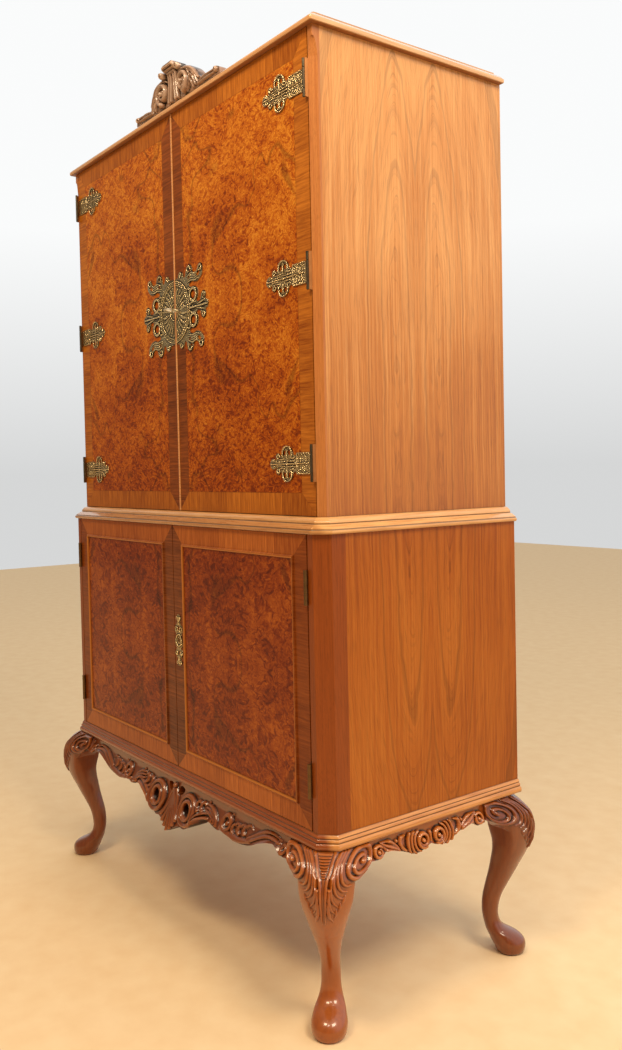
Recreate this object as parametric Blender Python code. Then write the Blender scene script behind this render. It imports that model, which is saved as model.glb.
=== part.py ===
# Bar cabinet in two stages on a carved cabriole stand.
# Metres, +Z up, front towards -Y, floor at z = 0.
import math

import bmesh
import bpy
import numpy as np
from mathutils import Vector
from mathutils.geometry import delaunay_2d_cdt

# Overall sizes
LOWER_WIDTH = 0.905
LOWER_DEPTH = 0.4246
UPPER_INSET = 0.0196      # each side of the upper stage from the lower one
UPPER_SETBACK = 0.0177    # its front behind the lower front
UPPER_WIDTH = LOWER_WIDTH - 2 * UPPER_INSET
UPPER_DEPTH = LOWER_DEPTH - UPPER_SETBACK
STAND_HEIGHT = 0.2805
BASE_BOARD_THICKNESS = 0.0222
LOWER_HEIGHT = 0.4527
WAIST_BOARD_THICKNESS = 0.0251
UPPER_HEIGHT = 0.7295
CORNICE_THICKNESS = 0.025
CREST_HEIGHT = 0.070

# Clearances
FIT = 0.0003              # glued or screwed pieces
DOOR_GAP = 0.0010         # round a door, and half the gap at the meeting edge
HOLE_CLEARANCE = 0.0005   # a pin in its knuckle, a key in its hole
CUT_PAST = 0.01           # how far a cut or a slot's tool runs past an open face

# Carcass
SIDE_THICKNESS = 0.018
BACK_THICKNESS = 0.008
SHELF_THICKNESS = 0.016
FLOOR_THICKNESS = 0.016
TOP_THICKNESS = 0.016
LOWER_CANT = 0.0207
UPPER_CHAMFER = 0.0103
CHAMFER_STOP = 0.045      # height below the cornice where the chamfer starts to run out
CHAMFER_RUNOUT = 0.028
POST_DEPTH = 0.035
POST_FACE = 0.0125
LIP_FLAT = 0.0004
SHELF_SETBACK = 0.045
LOWER_SHELF_HEIGHT = 0.215
GLASS_THICKNESS = 0.006
GLASS_HEIGHT = 0.360
GLASS_SETBACK = 0.060
GROOVE_DEPTH = 0.005
MIRROR_THICKNESS = 0.004
MIRROR_MARGIN = 0.012

# Doors
DOOR_THICKNESS = 0.020
REBATE_CLEARANCE = 0.0005
FRAME_MARGIN = 0.033
FRAME_BEAD_WIDTH = 0.005
FRAME_BEAD_HEIGHT = 0.003
FRAME_BEAD_SHAPE = ((0.06, 0.6), (0.28, 0.93), (0.5, 1.0), (0.72, 0.93), (0.94, 0.6))
MEETING_BEAD_WIDTH = 0.004
MEETING_BEAD_HEIGHT = 0.002

# Strap hinges of the upper doors
STRAP_LEAF_THICKNESS = 0.0015
STRAP_PLATE_THICKNESS = 0.0015
STRAP_BARREL_RADIUS = 0.0040
STRAP_BARREL_LENGTH = 0.057
STRAP_KNUCKLE_LENGTH = 0.031
STRAP_PIN_RADIUS = 0.0016
STRAP_AXIS_PROUD = 0.0056
STRAP_RISE = 0.0815       # lowest strap above the waist
STRAP_MIDDLE = 0.3695
STRAP_DROP = 0.0760       # highest strap below the cornice
STRAP_AXIS_OUT = 0.0004   # barrel past the edge of the side
PIN_EMBED = 0.002         # hinge pin inside the end knuckles
STRAP_LENGTH = 0.1165
STRAP_HALF_HEIGHT = 0.0285

# Butt hinges of the lower doors
BUTT_LEAF_THICKNESS = 0.0009
BUTT_BARREL_RADIUS = 0.0032
BUTT_BARREL_LENGTH = 0.053
BUTT_PIN_RADIUS = 0.0013
BUTT_AXIS_PROUD = 0.0036
BUTT_RISE = 0.0780
BUTT_DROP = 0.0807

# Locks and bolts
LOCK_HEIGHT = 0.3675
LOWER_LOCK_HEIGHT = 0.2400
LOCK_OFFSET = 0.017       # keyhole from the meeting line
LOCK_CASE_WIDTH = 0.034
LOCK_CASE_HEIGHT = 0.060
LOCK_CASE_THICKNESS = 0.0125
LOCK_CASE_RECESS = 0.0002  # behind the door's meeting edge
LOCK_CASE_BACK = 0.0025
BOLT_HEIGHT = 0.010
BOLT_THICKNESS = 0.006
BOLT_LENGTH = 0.024
BOLT_RISE = 0.018         # bolt's centre above the keyhole
BOLT_THROW = 0.008
BOLT_RECESS = 0.0006
BOLT_SPARE = 0.002        # mortise deeper than the throw
KEEP_THICKNESS = 0.0015
KEEP_HEIGHT = 0.034
KEEP_WIDTH = 0.012
KEYHOLE_RADIUS = 0.0032
KEYHOLE_SLOT_WIDTH = 0.0026
KEYHOLE_SLOT_DROP = 0.0090
KEY_SHAFT_RADIUS = 0.0023
KEY_PROUD = 0.012
KEY_BIT_LENGTH = 0.0075
KEY_BIT_THICKNESS = 0.0018
KEY_BIT_WIDTH = 0.005
KEY_BOW_LENGTH = 0.020
KEY_BOW_WIDTH = 0.022
KEY_BOW_THICKNESS = 0.0028
KEY_BOW_OVERLAP = 0.0012  # shaft inside the bow's rim
KEY_BOW_HOLE = 0.6        # share of the bow
KEY_END_MARGIN = 0.0040   # shaft's end in front of the door's back
KEY_BIT_MARGIN = 0.0006   # bit from the shaft's end
KEY_TURN_CLEARANCE = 0.001
LOCK_PLATE_THICKNESS = 0.0015
LOCK_PLATE_REACH = 0.1215
LOCK_PLATE_HALF_HEIGHT = 0.078
ESCUTCHEON_WIDTH = 0.028
ESCUTCHEON_HEIGHT = 0.095
ESCUTCHEON_THICKNESS = 0.0015
FLUSH_BOLT_WIDTH = 0.0065
FLUSH_BOLT_THICKNESS = 0.0070
FLUSH_BOLT_LENGTH = 0.120
FLUSH_BOLT_THROW = 0.008
FLUSH_SPARE = 0.002

# Stand
LEG_PROUD_FRONT = 0.004   # leg corner in front of the carcass
LEG_INSET_BACK = 0.012
LEG_SEAM = 0.0812         # leg corner to the joint with an apron
LEG_ARM_THICKNESS = 0.020
APRON_THICKNESS = 0.016
SHELL_PROUD = 0.036
SIDE_APRON_PROUD = 0.013
BAND_PROUD = 0.003
BAND_DEPTH = 0.0135       # plain band along the top of an apron
BAND_EDGE = 0.009
BAND_FADE = 0.004
SHELL_SPREAD = 0.085      # reach of the shell's swelling along the front apron
SWELL_SHARE = 0.78        # ground of the carving as a share of the full swelling
SWELL_POWER = 1.2
RAIL_THICKNESS = 0.020
RAIL_HEIGHT = 0.045
CREST_HALF_LENGTH = 0.156
CREST_SETBACK = 0.015
CREST_THICKNESS = 0.012

# Leg drawn on its diagonal: height, reach outwards, reach inwards, half width, squareness
LEG_SECTIONS = (
    (0.000, 0.0125, 0.0300, 0.0212, 2.0),
    (0.003, 0.0155, 0.0330, 0.0245, 2.0),
    (0.010, 0.0175, 0.0365, 0.0270, 2.0),
    (0.020, 0.0170, 0.0420, 0.0280, 2.0),
    (0.028, 0.0110, 0.0455, 0.0262, 2.0),
    (0.035, -0.0005, 0.0490, 0.0240, 2.0),
    (0.040, -0.0135, 0.0510, 0.0215, 2.0),
    (0.048, -0.0230, 0.0532, 0.0185, 2.0),
    (0.060, -0.0280, 0.0560, 0.0160, 2.0),
    (0.080, -0.0278, 0.0573, 0.0153, 2.0),
    (0.100, -0.0223, 0.0553, 0.0152, 1.95),
    (0.120, -0.0118, 0.0505, 0.0172, 1.85),
    (0.140, -0.0003, 0.0453, 0.0208, 1.75),
    (0.160, 0.0107, 0.0413, 0.0262, 1.65),
    (0.180, 0.0220, 0.0380, 0.0315, 1.55),
    (0.195, 0.0290, 0.0380, 0.0360, 1.4),
    (0.210, 0.0330, 0.0413, 0.0405, 1.28),
    (0.220, 0.0342, 0.0440, 0.0420, 1.22),
    (0.230, 0.0337, 0.0460, 0.0430, 1.22),
    (0.240, 0.0313, 0.0480, 0.0430, 1.22),
    (0.247, 0.0287, 0.0490, 0.0425, 1.22),
    (0.253, 0.0252, 0.0500, 0.0415, 1.22),
    (0.260, 0.0190, 0.0500, 0.0400, 1.22),
    (0.270, 0.0080, 0.0500, 0.0380, 1.25),
    (0.276, -0.0030, 0.0500, 0.0365, 1.28),
    (0.2802, -0.0105, 0.0500, 0.0350, 1.3),
)
# Knee bracket along an apron: height, reach from the leg's corner, how proud its face stands
KNEE_BRACKET = (
    (0.226, 0.0360, 0.0200),
    (0.233, 0.0430, 0.0180),
    (0.240, 0.0500, 0.0165),
    (0.247, 0.0640, 0.0150),
    (0.253, 0.0812, 0.0125),
    (0.260, 0.0812, 0.0090),
    (0.270, 0.0812, 0.0055),
    (0.2802, 0.0812, 0.0040),
)
LEG_OUTER_RAYS = 15
LEG_INNER_RAYS = 3


def bracket_at(level):
    heights = [row[0] for row in KNEE_BRACKET]
    if level < heights[0]:
        return None
    reach = float(np.interp(level, heights, [row[1] for row in KNEE_BRACKET]))
    proud = float(np.interp(level, heights, [row[2] for row in KNEE_BRACKET]))
    return reach * LEG_SEAM / KNEE_BRACKET[-1][1], proud


def core_radius(section, direction):
    """Distance from the section's centre to the rounded core along a direction (inward x, inward y)."""
    _, outer, inner, half, power = section
    p = -(direction[0] + direction[1]) / math.sqrt(2)
    q = (direction[0] - direction[1]) / math.sqrt(2)
    half_depth = (outer + inner) / 2
    return (abs(p / half_depth) ** power + abs(q / half) ** power) ** (-1 / power)


def box_radius(origin, direction, low, high):
    """Distance from an inside point to the wall of a box, both in two dimensions."""
    reach = 1e9
    for k in range(2):
        if direction[k] > 1e-9:
            reach = min(reach, (high[k] - origin[k]) / direction[k])
        elif direction[k] < -1e-9:
            reach = min(reach, (low[k] - origin[k]) / direction[k])
    return reach


def fill_hollows(center, chain):
    """Move the points of a chain outwards along their rays until it has no hollow."""
    kept = []
    for i, (x, y) in enumerate(chain):
        while len(kept) > 1:
            ax, ay = chain[kept[-2]]
            bx, by = chain[kept[-1]]
            if (bx - ax) * (y - ay) - (by - ay) * (x - ax) < 0:
                break
            kept.pop()
        kept.append(i)
    filled = list(chain)
    for first, last in zip(kept, kept[1:]):
        ax, ay = chain[first]
        ux, uy = chain[last][0] - ax, chain[last][1] - ay
        for i in range(first + 1, last):
            vx, vy = chain[i][0] - center[0], chain[i][1] - center[1]
            t = ((ax - center[0]) * uy - (ay - center[1]) * ux) / (vx * uy - vy * ux)
            filled[i] = (center[0] + t * vx, center[1] + t * vy)
    return filled


def leg_ring(section):
    """Section of a leg at its corner, x and y measured inwards."""
    level, outer, inner = section[:3]
    middle = (inner - outer) / 2 / math.sqrt(2)
    center = (middle, middle)
    bracket = bracket_at(level)
    reach, proud = bracket if bracket else (KNEE_BRACKET[0][1], KNEE_BRACKET[0][2])
    thick = LEG_ARM_THICKNESS
    keys = [(reach, -proud), (reach, thick)]
    start = math.atan2(keys[0][1] - center[1], keys[0][0] - center[0])
    end = math.atan2(keys[0][0] - center[1], keys[0][1] - center[0])
    turns = [start + (end - 2 * math.pi - start) * i / (LEG_OUTER_RAYS + 1)
             for i in range(LEG_OUTER_RAYS + 2)]
    first = math.atan2(reach - center[1], thick - center[0])
    last = math.atan2(thick - center[1], reach - center[0])
    turns += [first + (last - first) * i / (LEG_INNER_RAYS + 1) for i in range(LEG_INNER_RAYS + 2)]
    ring = []
    for turn in turns:
        direction = (math.cos(turn), math.sin(turn))
        radius = core_radius(section, direction)
        if bracket:
            radius = max(radius, box_radius(center, direction, (-proud, -proud), (reach, thick)),
                         box_radius(center, direction, (-proud, -proud), (thick, reach)))
            # The two brackets meet across the corner on the core's own outer face
            outwards = -(direction[0] + direction[1]) / math.sqrt(2)
            if outwards > 0:
                radius = min(radius, (outer + inner) / 2 / outwards)
        ring.append((center[0] + radius * direction[0], center[1] + radius * direction[1]))
    if bracket:
        outer_count = LEG_OUTER_RAYS + 2
        ring[:outer_count] = fill_hollows(center, ring[:outer_count])
    return ring


# Levels and planes worked out from the sizes
KNEE_REACH = max(-a for section in LEG_SECTIONS for a, _ in leg_ring(section))
KNEE_BEHIND = KNEE_REACH - LEG_INSET_BACK   # how far the back knees stand behind the back
BACK = (LOWER_DEPTH + SHELL_PROUD - KNEE_BEHIND) / 2
LOWER_FRONT = BACK - LOWER_DEPTH
UPPER_FRONT = BACK - UPPER_DEPTH
BASE_TOP = STAND_HEIGHT + BASE_BOARD_THICKNESS
WAIST_BOTTOM = BASE_TOP + LOWER_HEIGHT
WAIST_TOP = WAIST_BOTTOM + WAIST_BOARD_THICKNESS
CORNICE_BOTTOM = WAIST_TOP + UPPER_HEIGHT
CORNICE_TOP = CORNICE_BOTTOM + CORNICE_THICKNESS
LOWER_HALF = LOWER_WIDTH / 2
UPPER_HALF = UPPER_WIDTH / 2
BACK_INNER = BACK - BACK_THICKNESS

LOWER_DOOR_GAP = 3 * FIT + 2 * BUTT_LEAF_THICKNESS
POST_INNER = LOWER_HALF - LOWER_CANT - POST_FACE
LOWER_DOOR_EDGE = POST_INNER - LOWER_DOOR_GAP
UPPER_LIP_INNER = UPPER_HALF - UPPER_CHAMFER - LIP_FLAT
UPPER_DOOR_EDGE = UPPER_LIP_INNER - STRAP_LEAF_THICKNESS - 2 * FIT
UPPER_SIDE_INNER = UPPER_HALF - SIDE_THICKNESS
LOWER_SIDE_INNER = LOWER_HALF - SIDE_THICKNESS
REBATE = UPPER_FRONT + DOOR_THICKNESS + REBATE_CLEARANCE
STRAP_AXIS_X = UPPER_LIP_INNER - FIT - STRAP_BARREL_RADIUS + STRAP_AXIS_OUT
STRAP_AXIS_Y = UPPER_FRONT - STRAP_AXIS_PROUD
BUTT_AXIS_X = POST_INNER - LOWER_DOOR_GAP / 2
BUTT_AXIS_Y = LOWER_FRONT - BUTT_AXIS_PROUD
LOWER_DOOR_BOTTOM = BASE_TOP + DOOR_GAP
LOWER_DOOR_TOP = WAIST_BOTTOM - DOOR_GAP
UPPER_DOOR_BOTTOM = WAIST_TOP + DOOR_GAP
UPPER_DOOR_TOP = CORNICE_BOTTOM - DOOR_GAP
LOCK_Z = WAIST_TOP + LOCK_HEIGHT
LOWER_LOCK_Z = BASE_TOP + LOWER_LOCK_HEIGHT
STRAP_LEVELS = (WAIST_TOP + STRAP_RISE, WAIST_TOP + STRAP_MIDDLE, CORNICE_BOTTOM - STRAP_DROP)
BUTT_LEVELS = (BASE_TOP + BUTT_RISE, WAIST_BOTTOM - BUTT_DROP)
LEG_HEIGHT = STAND_HEIGHT - FIT
LEG_FRONT_Y = LOWER_FRONT - LEG_PROUD_FRONT
LEG_BACK_Y = BACK - LEG_INSET_BACK
APRON_HALF = LOWER_HALF - LEG_SEAM - FIT
SIDE_APRON_HALF = (LEG_BACK_Y - LEG_FRONT_Y) / 2 - LEG_SEAM - FIT
SIDE_APRON_Y = (LEG_BACK_Y + LEG_FRONT_Y) / 2
DRAWN_APRON_HALF = 0.371  # the apron outlines below are drawn for this half length
DRAWN_SIDE_HALF = 0.126
DRAWN_LEG_HEIGHT = 0.2802
DRAWN_CREST_HALF = 0.156
DRAWN_CREST_HEIGHT = 0.070


def clear_scene():
    for old in list(bpy.data.objects):
        bpy.data.objects.remove(old, do_unlink=True)


def make_material(name, color, roughness, metallic=0.0, alpha=1.0):
    material = bpy.data.materials.new(name)
    material.use_nodes = True
    shader = material.node_tree.nodes["Principled BSDF"]
    shader.inputs["Base Color"].default_value = (*color, 1.0)
    shader.inputs["Roughness"].default_value = roughness
    shader.inputs["Metallic"].default_value = metallic
    shader.inputs["Alpha"].default_value = alpha
    material.diffuse_color = (*color, 1.0)
    return material


def finish_mesh(name, bm, material, origin=(0.0, 0.0, 0.0)):
    """Turn a bmesh drawn in world coordinates into an object with its origin at the given point."""
    bmesh.ops.recalc_face_normals(bm, faces=bm.faces)
    bmesh.ops.translate(bm, verts=bm.verts, vec=-Vector(origin))
    mesh = bpy.data.meshes.new(name)
    bm.to_mesh(mesh)
    bm.free()
    mesh.materials.append(material)
    thing = bpy.data.objects.new(name, mesh)
    bpy.context.collection.objects.link(thing)
    thing.location = origin
    return thing


def add_rings(bm, rings):
    """Skin a stack of closed rings with equal point counts, and cap both ends."""
    rows = [[bm.verts.new(point) for point in ring] for ring in rings]
    count = len(rows[0])
    for low, high in zip(rows, rows[1:]):
        for i in range(count):
            j = (i + 1) % count
            bm.faces.new((low[i], low[j], high[j], high[i]))
    bm.faces.new(rows[0][::-1])
    bm.faces.new(rows[-1])


def ring_solid(name, rings, material, origin=(0.0, 0.0, 0.0)):
    bm = bmesh.new()
    add_rings(bm, rings)
    return finish_mesh(name, bm, material, origin)


def box_rings(x, y, z):
    """Rings of a box between the given pairs of limits."""
    corners = ((x[0], y[0]), (x[1], y[0]), (x[1], y[1]), (x[0], y[1]))
    return [[(a, b, level) for a, b in corners] for level in z]


def box(name, x, y, z, material, origin=(0.0, 0.0, 0.0)):
    return ring_solid(name, box_rings(sorted(x), sorted(y), sorted(z)), material, origin)


def cylinder_rings(center, radius, ends, axis="Z", sides=20):
    """Rings of a cylinder along an axis; center holds the other two coordinates."""
    rings = []
    for end in ends:
        ring = []
        for i in range(sides):
            turn = 2 * math.pi * (i + 0.5) / sides
            a = center[0] + radius * math.cos(turn)
            b = center[1] + radius * math.sin(turn)
            ring.append({"Z": (a, b, end), "Y": (a, end, b), "X": (end, a, b)}[axis])
        rings.append(ring)
    return rings


def combine(thing, rings, operation):
    """Add or cut a ring-built shape on an object with an exact boolean."""
    bm = bmesh.new()
    add_rings(bm, rings)
    tool = finish_mesh(thing.name + ".tool", bm, thing.data.materials[0])
    tool.hide_render = True
    tool.display_type = "WIRE"
    modifier = thing.modifiers.new("boolean", "BOOLEAN")
    modifier.operation = operation
    modifier.solver = "EXACT"
    modifier.object = tool


def cut(thing, rings):
    combine(thing, rings, "DIFFERENCE")


def join(thing, rings):
    combine(thing, rings, "UNION")


def smooth_curve(points, step):
    """Points along a Catmull-Rom curve through the given points, about one step apart."""
    pts = [Vector(p) for p in points]
    pts = [2 * pts[0] - pts[1]] + pts + [2 * pts[-1] - pts[-2]]
    out = []
    for a, b, c, d in zip(pts, pts[1:], pts[2:], pts[3:]):
        count = max(1, round((c - b).length / step))
        for i in range(count):
            t = i / count
            out.append(0.5 * ((2 * b) + (c - a) * t + (2 * a - 5 * b + 4 * c - d) * t * t
                              + (3 * b - a - 3 * c + d) * t ** 3))
    out.append(pts[-2])
    return [(p.x, p.y) for p in out]


def mirrored(half):
    """A left-right symmetric open outline from its right half, which starts on the middle line."""
    return [(-a, b) for a, b in reversed(half[1:])] + list(half)


def ellipse(center, radii, count, tilt=0.0):
    loop = []
    for i in range(count):
        turn = 2 * math.pi * i / count
        a = radii[0] * math.cos(turn)
        b = radii[1] * math.sin(turn)
        loop.append((center[0] + a * math.cos(tilt) - b * math.sin(tilt),
                     center[1] + a * math.sin(tilt) + b * math.cos(tilt)))
    return loop


def inside(loop, points):
    """Even-odd test of an array of points against a loop."""
    result = np.zeros(len(points), dtype=bool)
    for (ax, ay), (bx, by) in zip(loop, loop[1:] + loop[:1]):
        if ay == by:
            continue
        crosses = (points[:, 1] < ay) != (points[:, 1] < by)
        at = ax + (points[:, 1] - ay) * (bx - ax) / (by - ay)
        result ^= crosses & (points[:, 0] < at)
    return result


def distance_to(path, points, closed=False):
    """Distance of each point to a polyline."""
    ends = path[1:] + path[:1] if closed else path[1:]
    best = np.full(len(points), 1e9)
    for a, b in zip(path, ends):
        a = np.array(a)
        along = np.array(b) - a
        length = max(along @ along, 1e-12)
        t = np.clip((points - a) @ along / length, 0, 1)
        best = np.minimum(best, np.linalg.norm(points - a - t[:, None] * along, axis=1))
    return best


def triangulate(loops, inner):
    """Triangles of the region inside the first loop and outside the others."""
    verts = [Vector(p) for loop in loops for p in loop] + [Vector(p) for p in inner]
    edges = []
    start = 0
    for loop in loops:
        edges += [(start + i, start + (i + 1) % len(loop)) for i in range(len(loop))]
        start += len(loop)
    points, _, faces, originals, _, _ = delaunay_2d_cdt(verts, edges, [], 0, 1e-7)
    points = np.array([tuple(p) for p in points])
    middles = np.array([points[list(face)].mean(axis=0) for face in faces])
    keep = inside(loops[0], middles)
    for loop in loops[1:]:
        keep &= ~inside(loop, middles)
    triangles = [[originals[i] for i in face] for face, wanted in zip(faces, keep) if wanted]
    return [[source[0] for source in sources] for sources in triangles if all(sources)]


def relief(name, loops, spacing, front, back, place, material, origin=(0.0, 0.0, 0.0), ridges=()):
    """A pierced plate: front(points) gives its front heights, back the height of its flat back."""
    low = np.min(loops[0], axis=0)
    high = np.max(loops[0], axis=0)
    inner = [p for ridge in ridges for p in ridge]
    if spacing:
        grid = [(a, b) for row, b in enumerate(np.arange(low[1], high[1], spacing * 0.87))
                for a in np.arange(low[0] + (row % 2) * spacing / 2, high[0], spacing)]
        if inner:
            grid = np.array(grid)
            grid = grid[distance_to([tuple(p) for p in inner], grid) > spacing * 0.6]
            grid = [tuple(p) for p in grid]
        inner = inner + grid
    if inner:
        points = np.array(inner)
        keep = inside(loops[0], points)
        for loop in loops:
            keep &= distance_to(loop, points, closed=True) > (spacing or 0.003) * 0.45
        for loop in loops[1:]:
            keep &= ~inside(loop, points)
        inner = [tuple(p) for p in points[keep]]
    rim = [p for loop in loops for p in loop]
    heights = front(np.array(rim + inner))
    bm = bmesh.new()
    front_verts = [bm.verts.new(place(a, b, h)) for (a, b), h in zip(rim + inner, heights)]
    back_verts = [bm.verts.new(place(a, b, back)) for a, b in rim]
    for triangle in triangulate(loops, inner):
        bm.faces.new([front_verts[i] for i in triangle])
    for triangle in triangulate(loops, []):
        bm.faces.new([back_verts[i] for i in triangle])
    start = 0
    for loop in loops:
        count = len(loop)
        for i in range(count):
            j = (i + 1) % count
            bm.faces.new((front_verts[start + i], front_verts[start + j],
                          back_verts[start + j], back_verts[start + i]))
        start += count
    return finish_mesh(name, bm, material, origin)


# Shapes shared by the carvings: strokes with a rounded section
def stroke(path, widths, height):
    """A raised stroke: its centre line, the half width at each of its points, its height."""
    return path, widths, height


def stroke_height(strokes, points):
    """The height that the strokes add at each point."""
    total = np.zeros(len(points))
    for path, widths, height in strokes:
        for (a, b), (wa, wb) in zip(zip(path, path[1:]), zip(widths, widths[1:])):
            a = np.array(a)
            along = np.array(b) - a
            t = np.clip((points - a) @ along / max(along @ along, 1e-12), 0, 1)
            reach = wa + (wb - wa) * t
            off = np.linalg.norm(points - a - t[:, None] * along, axis=1) / reach
            total = np.maximum(total, height * np.sqrt(np.clip(1 - off * off, 0, 1)))
    return total


def arc(center, radius, start, end, count=14, shrink=1.0):
    """An arc or spiral; angles in degrees, the radius shrinking by the given ratio."""
    path = []
    for i in range(count):
        t = i / (count - 1)
        turn = math.radians(start + (end - start) * t)
        r = radius * (1 + (shrink - 1) * t)
        path.append((center[0] + r * math.cos(turn), center[1] + r * math.sin(turn)))
    return path


def both_sides(strokes):
    return strokes + [([(-a, b) for a, b in path], widths, height) for path, widths, height in strokes]


def taper(path, start, end):
    count = len(path)
    return [start + (end - start) * i / (count - 1) for i in range(count)]


# Stand
def make_leg(name, corner, inward, material):
    rings = []
    for section in LEG_SECTIONS:
        level = section[0] * LEG_HEIGHT / DRAWN_LEG_HEIGHT
        rings.append([(corner[0] + inward[0] * a, corner[1] + inward[1] * b, level)
                      for a, b in leg_ring(section)])
    return ring_solid(name, rings, material)


# Lower edge of the front apron from its middle to the leg: distance from the middle, height
APRON_EDGE = (
    (0.000, 0.1895), (0.010, 0.1915), (0.020, 0.1990), (0.036, 0.2060), (0.052, 0.2045),
    (0.064, 0.2087), (0.076, 0.2150), (0.0815, 0.2240), (0.092, 0.2330), (0.110, 0.2390),
    (0.132, 0.2415), (0.150, 0.2370), (0.165, 0.2350), (0.178, 0.2388), (0.190, 0.2365),
    (0.2014, 0.2339), (0.2225, 0.2316), (0.245, 0.2341), (0.268, 0.2397), (0.294, 0.2510),
    (0.3224, 0.2597), (0.3388, 0.2590), (0.347, 0.2525), (0.3590, 0.2500), (0.371, 0.2510),
)
SIDE_APRON_EDGE = (
    (0.000, 0.2470), (0.012, 0.2420), (0.028, 0.2385), (0.040, 0.2400), (0.050, 0.2445),
    (0.070, 0.2525), (0.085, 0.2580), (0.094, 0.2590), (0.100, 0.2540), (0.108, 0.2490),
    (0.126, 0.2500),
)
DRAWN_STAND = 0.2805
APRON_RIM_STEP = 0.0075
APRON_GRID = 0.0078


def front_strokes():
    """Carving of the front apron: shell, scrolls and leaves."""
    half = [stroke(arc((0.057, 0.238), 0.0205, 100, 460, 22), [0.0085] * 22, 0.009)]
    for angle in (0, 16, 32, 48):
        lean = math.radians(angle)
        length = 0.072 - 0.0006 * angle
        tip = (length * math.sin(lean) * 0.72, 0.2640 - length * math.cos(lean))
        half.append(stroke([(0.0, 0.2640), tip], [0.004, 0.0062], 0.010))
    leaf = arc((0.150, 0.250), 0.016, 215, 330, 8)
    half.append(stroke(leaf, taper(leaf, 0.008, 0.005), 0.006))
    ring = arc((0.190, 0.2550), 0.0125, 40, 400, 16)
    half.append(stroke(ring, [0.0055] * 16, 0.006))
    for x, lift in ((0.222, 0.0), (0.246, 0.003), (0.268, 0.006)):
        curl = arc((x, 0.2480 + lift), 0.0095, 250, 400, 8, 0.6)
        half.append(stroke(curl, taper(curl, 0.0055, 0.004), 0.005))
    frond = [(0.346, 0.262), (0.322, 0.2665), (0.296, 0.262), (0.275, 0.254), (0.262, 0.247)]
    half.append(stroke(frond, taper(frond, 0.004, 0.008), 0.004))
    end = arc((0.352, 0.2570), 0.0060, 0, 330, 10)
    half.append(stroke(end, [0.004] * 10, 0.005))
    ball = [(0.0, 0.2690), (0.0001, 0.2690)]
    return both_sides(half) + [stroke(ball, [0.009, 0.009], 0.010)]


def side_strokes():
    half = [stroke(arc((0.022, 0.2560), 0.0110, -60, 250, 12), [0.0052] * 12, 0.006)]
    for x in (0.048, 0.066):
        curl = arc((x, 0.2600), 0.0085, 200, 380, 8, 0.7)
        half.append(stroke(curl, taper(curl, 0.0055, 0.004), 0.005))
    end = arc((0.112, 0.2570), 0.0060, 0, 330, 10)
    half.append(stroke(end, [0.004] * 10, 0.005))
    return both_sides(half)


def drawn_height(level):
    return level * STAND_HEIGHT / DRAWN_STAND


def carved_front(edge, stretch, strokes, swell, tip_swell):
    """Front heights of an apron drawn as (along, height)."""
    top = DRAWN_STAND

    def heights(points):
        drawn = np.column_stack((points[:, 0] / stretch, points[:, 1] * DRAWN_STAND / STAND_HEIGHT))
        along = np.abs(drawn[:, 0])
        bottom = np.interp(along, [a for a, _ in edge], [b for _, b in edge])
        drop = np.clip((top - BAND_DEPTH - drawn[:, 1]) / (top - BAND_DEPTH - bottom + 1e-9), 0, 1)
        lower = swell + (tip_swell - swell) * np.exp(-(along / SHELL_SPREAD) ** 2)
        body = BAND_PROUD + (lower * SWELL_SHARE - BAND_PROUD) * drop ** SWELL_POWER
        fade = np.clip((top - BAND_EDGE - drawn[:, 1]) / BAND_FADE, 0, 1)
        return body + stroke_height(strokes, drawn) * fade
    return heights


def apron_loop(edge, stretch, half):
    lower = [(a * stretch, drawn_height(b)) for a, b in edge]
    lower[-1] = (half, lower[-1][1])
    lower = mirrored(smooth_curve(lower, APRON_RIM_STEP))
    top = STAND_HEIGHT - FIT
    count = max(4, round(2 * half / (3 * APRON_RIM_STEP)))
    upper = [(half - 2 * half * i / count, top) for i in range(count + 1)]
    return lower + upper


def make_front_apron(material):
    stretch = APRON_HALF / DRAWN_APRON_HALF
    loops = [apron_loop(APRON_EDGE, stretch, APRON_HALF)]
    for side in (-1, 1):
        loops.append([(stretch * a, drawn_height(b)) for a, b in
                      ellipse((side * 0.0570, 0.2385), (0.0120, 0.0095), 12)])
        gap = [(0.012, 0.2580), (0.021, 0.2565), (0.029, 0.2660), (0.021, 0.2705)]
        loops.append([(stretch * side * a, drawn_height(b)) for a, b in gap])
    strokes = front_strokes()
    ridges = [[(a * stretch, drawn_height(b)) for a, b in path[::2]] for path, _, _ in strokes]
    shape = carved_front(APRON_EDGE, stretch, strokes, 0.024, SHELL_PROUD)
    back = -APRON_THICKNESS
    highest = SHELL_PROUD

    def front(points):
        return np.minimum(shape(points), highest)

    def place(along, level, height):
        return (along, LOWER_FRONT - height, level)
    return relief("apron_front", loops, APRON_GRID, front, back, place, material, ridges=ridges)


def make_side_apron(name, side, material):
    stretch = SIDE_APRON_HALF / DRAWN_SIDE_HALF
    loops = [apron_loop(SIDE_APRON_EDGE, stretch, SIDE_APRON_HALF)]
    strokes = side_strokes()
    ridges = [[(a * stretch, drawn_height(b)) for a, b in path[::2]] for path, _, _ in strokes]
    front = carved_front(SIDE_APRON_EDGE, stretch, strokes, SIDE_APRON_PROUD, SIDE_APRON_PROUD)

    def place(along, level, height):
        return (side * (LOWER_HALF + height), SIDE_APRON_Y + along, level)
    return relief(name, loops, APRON_GRID, front, -APRON_THICKNESS, place, material, ridges=ridges)


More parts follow.
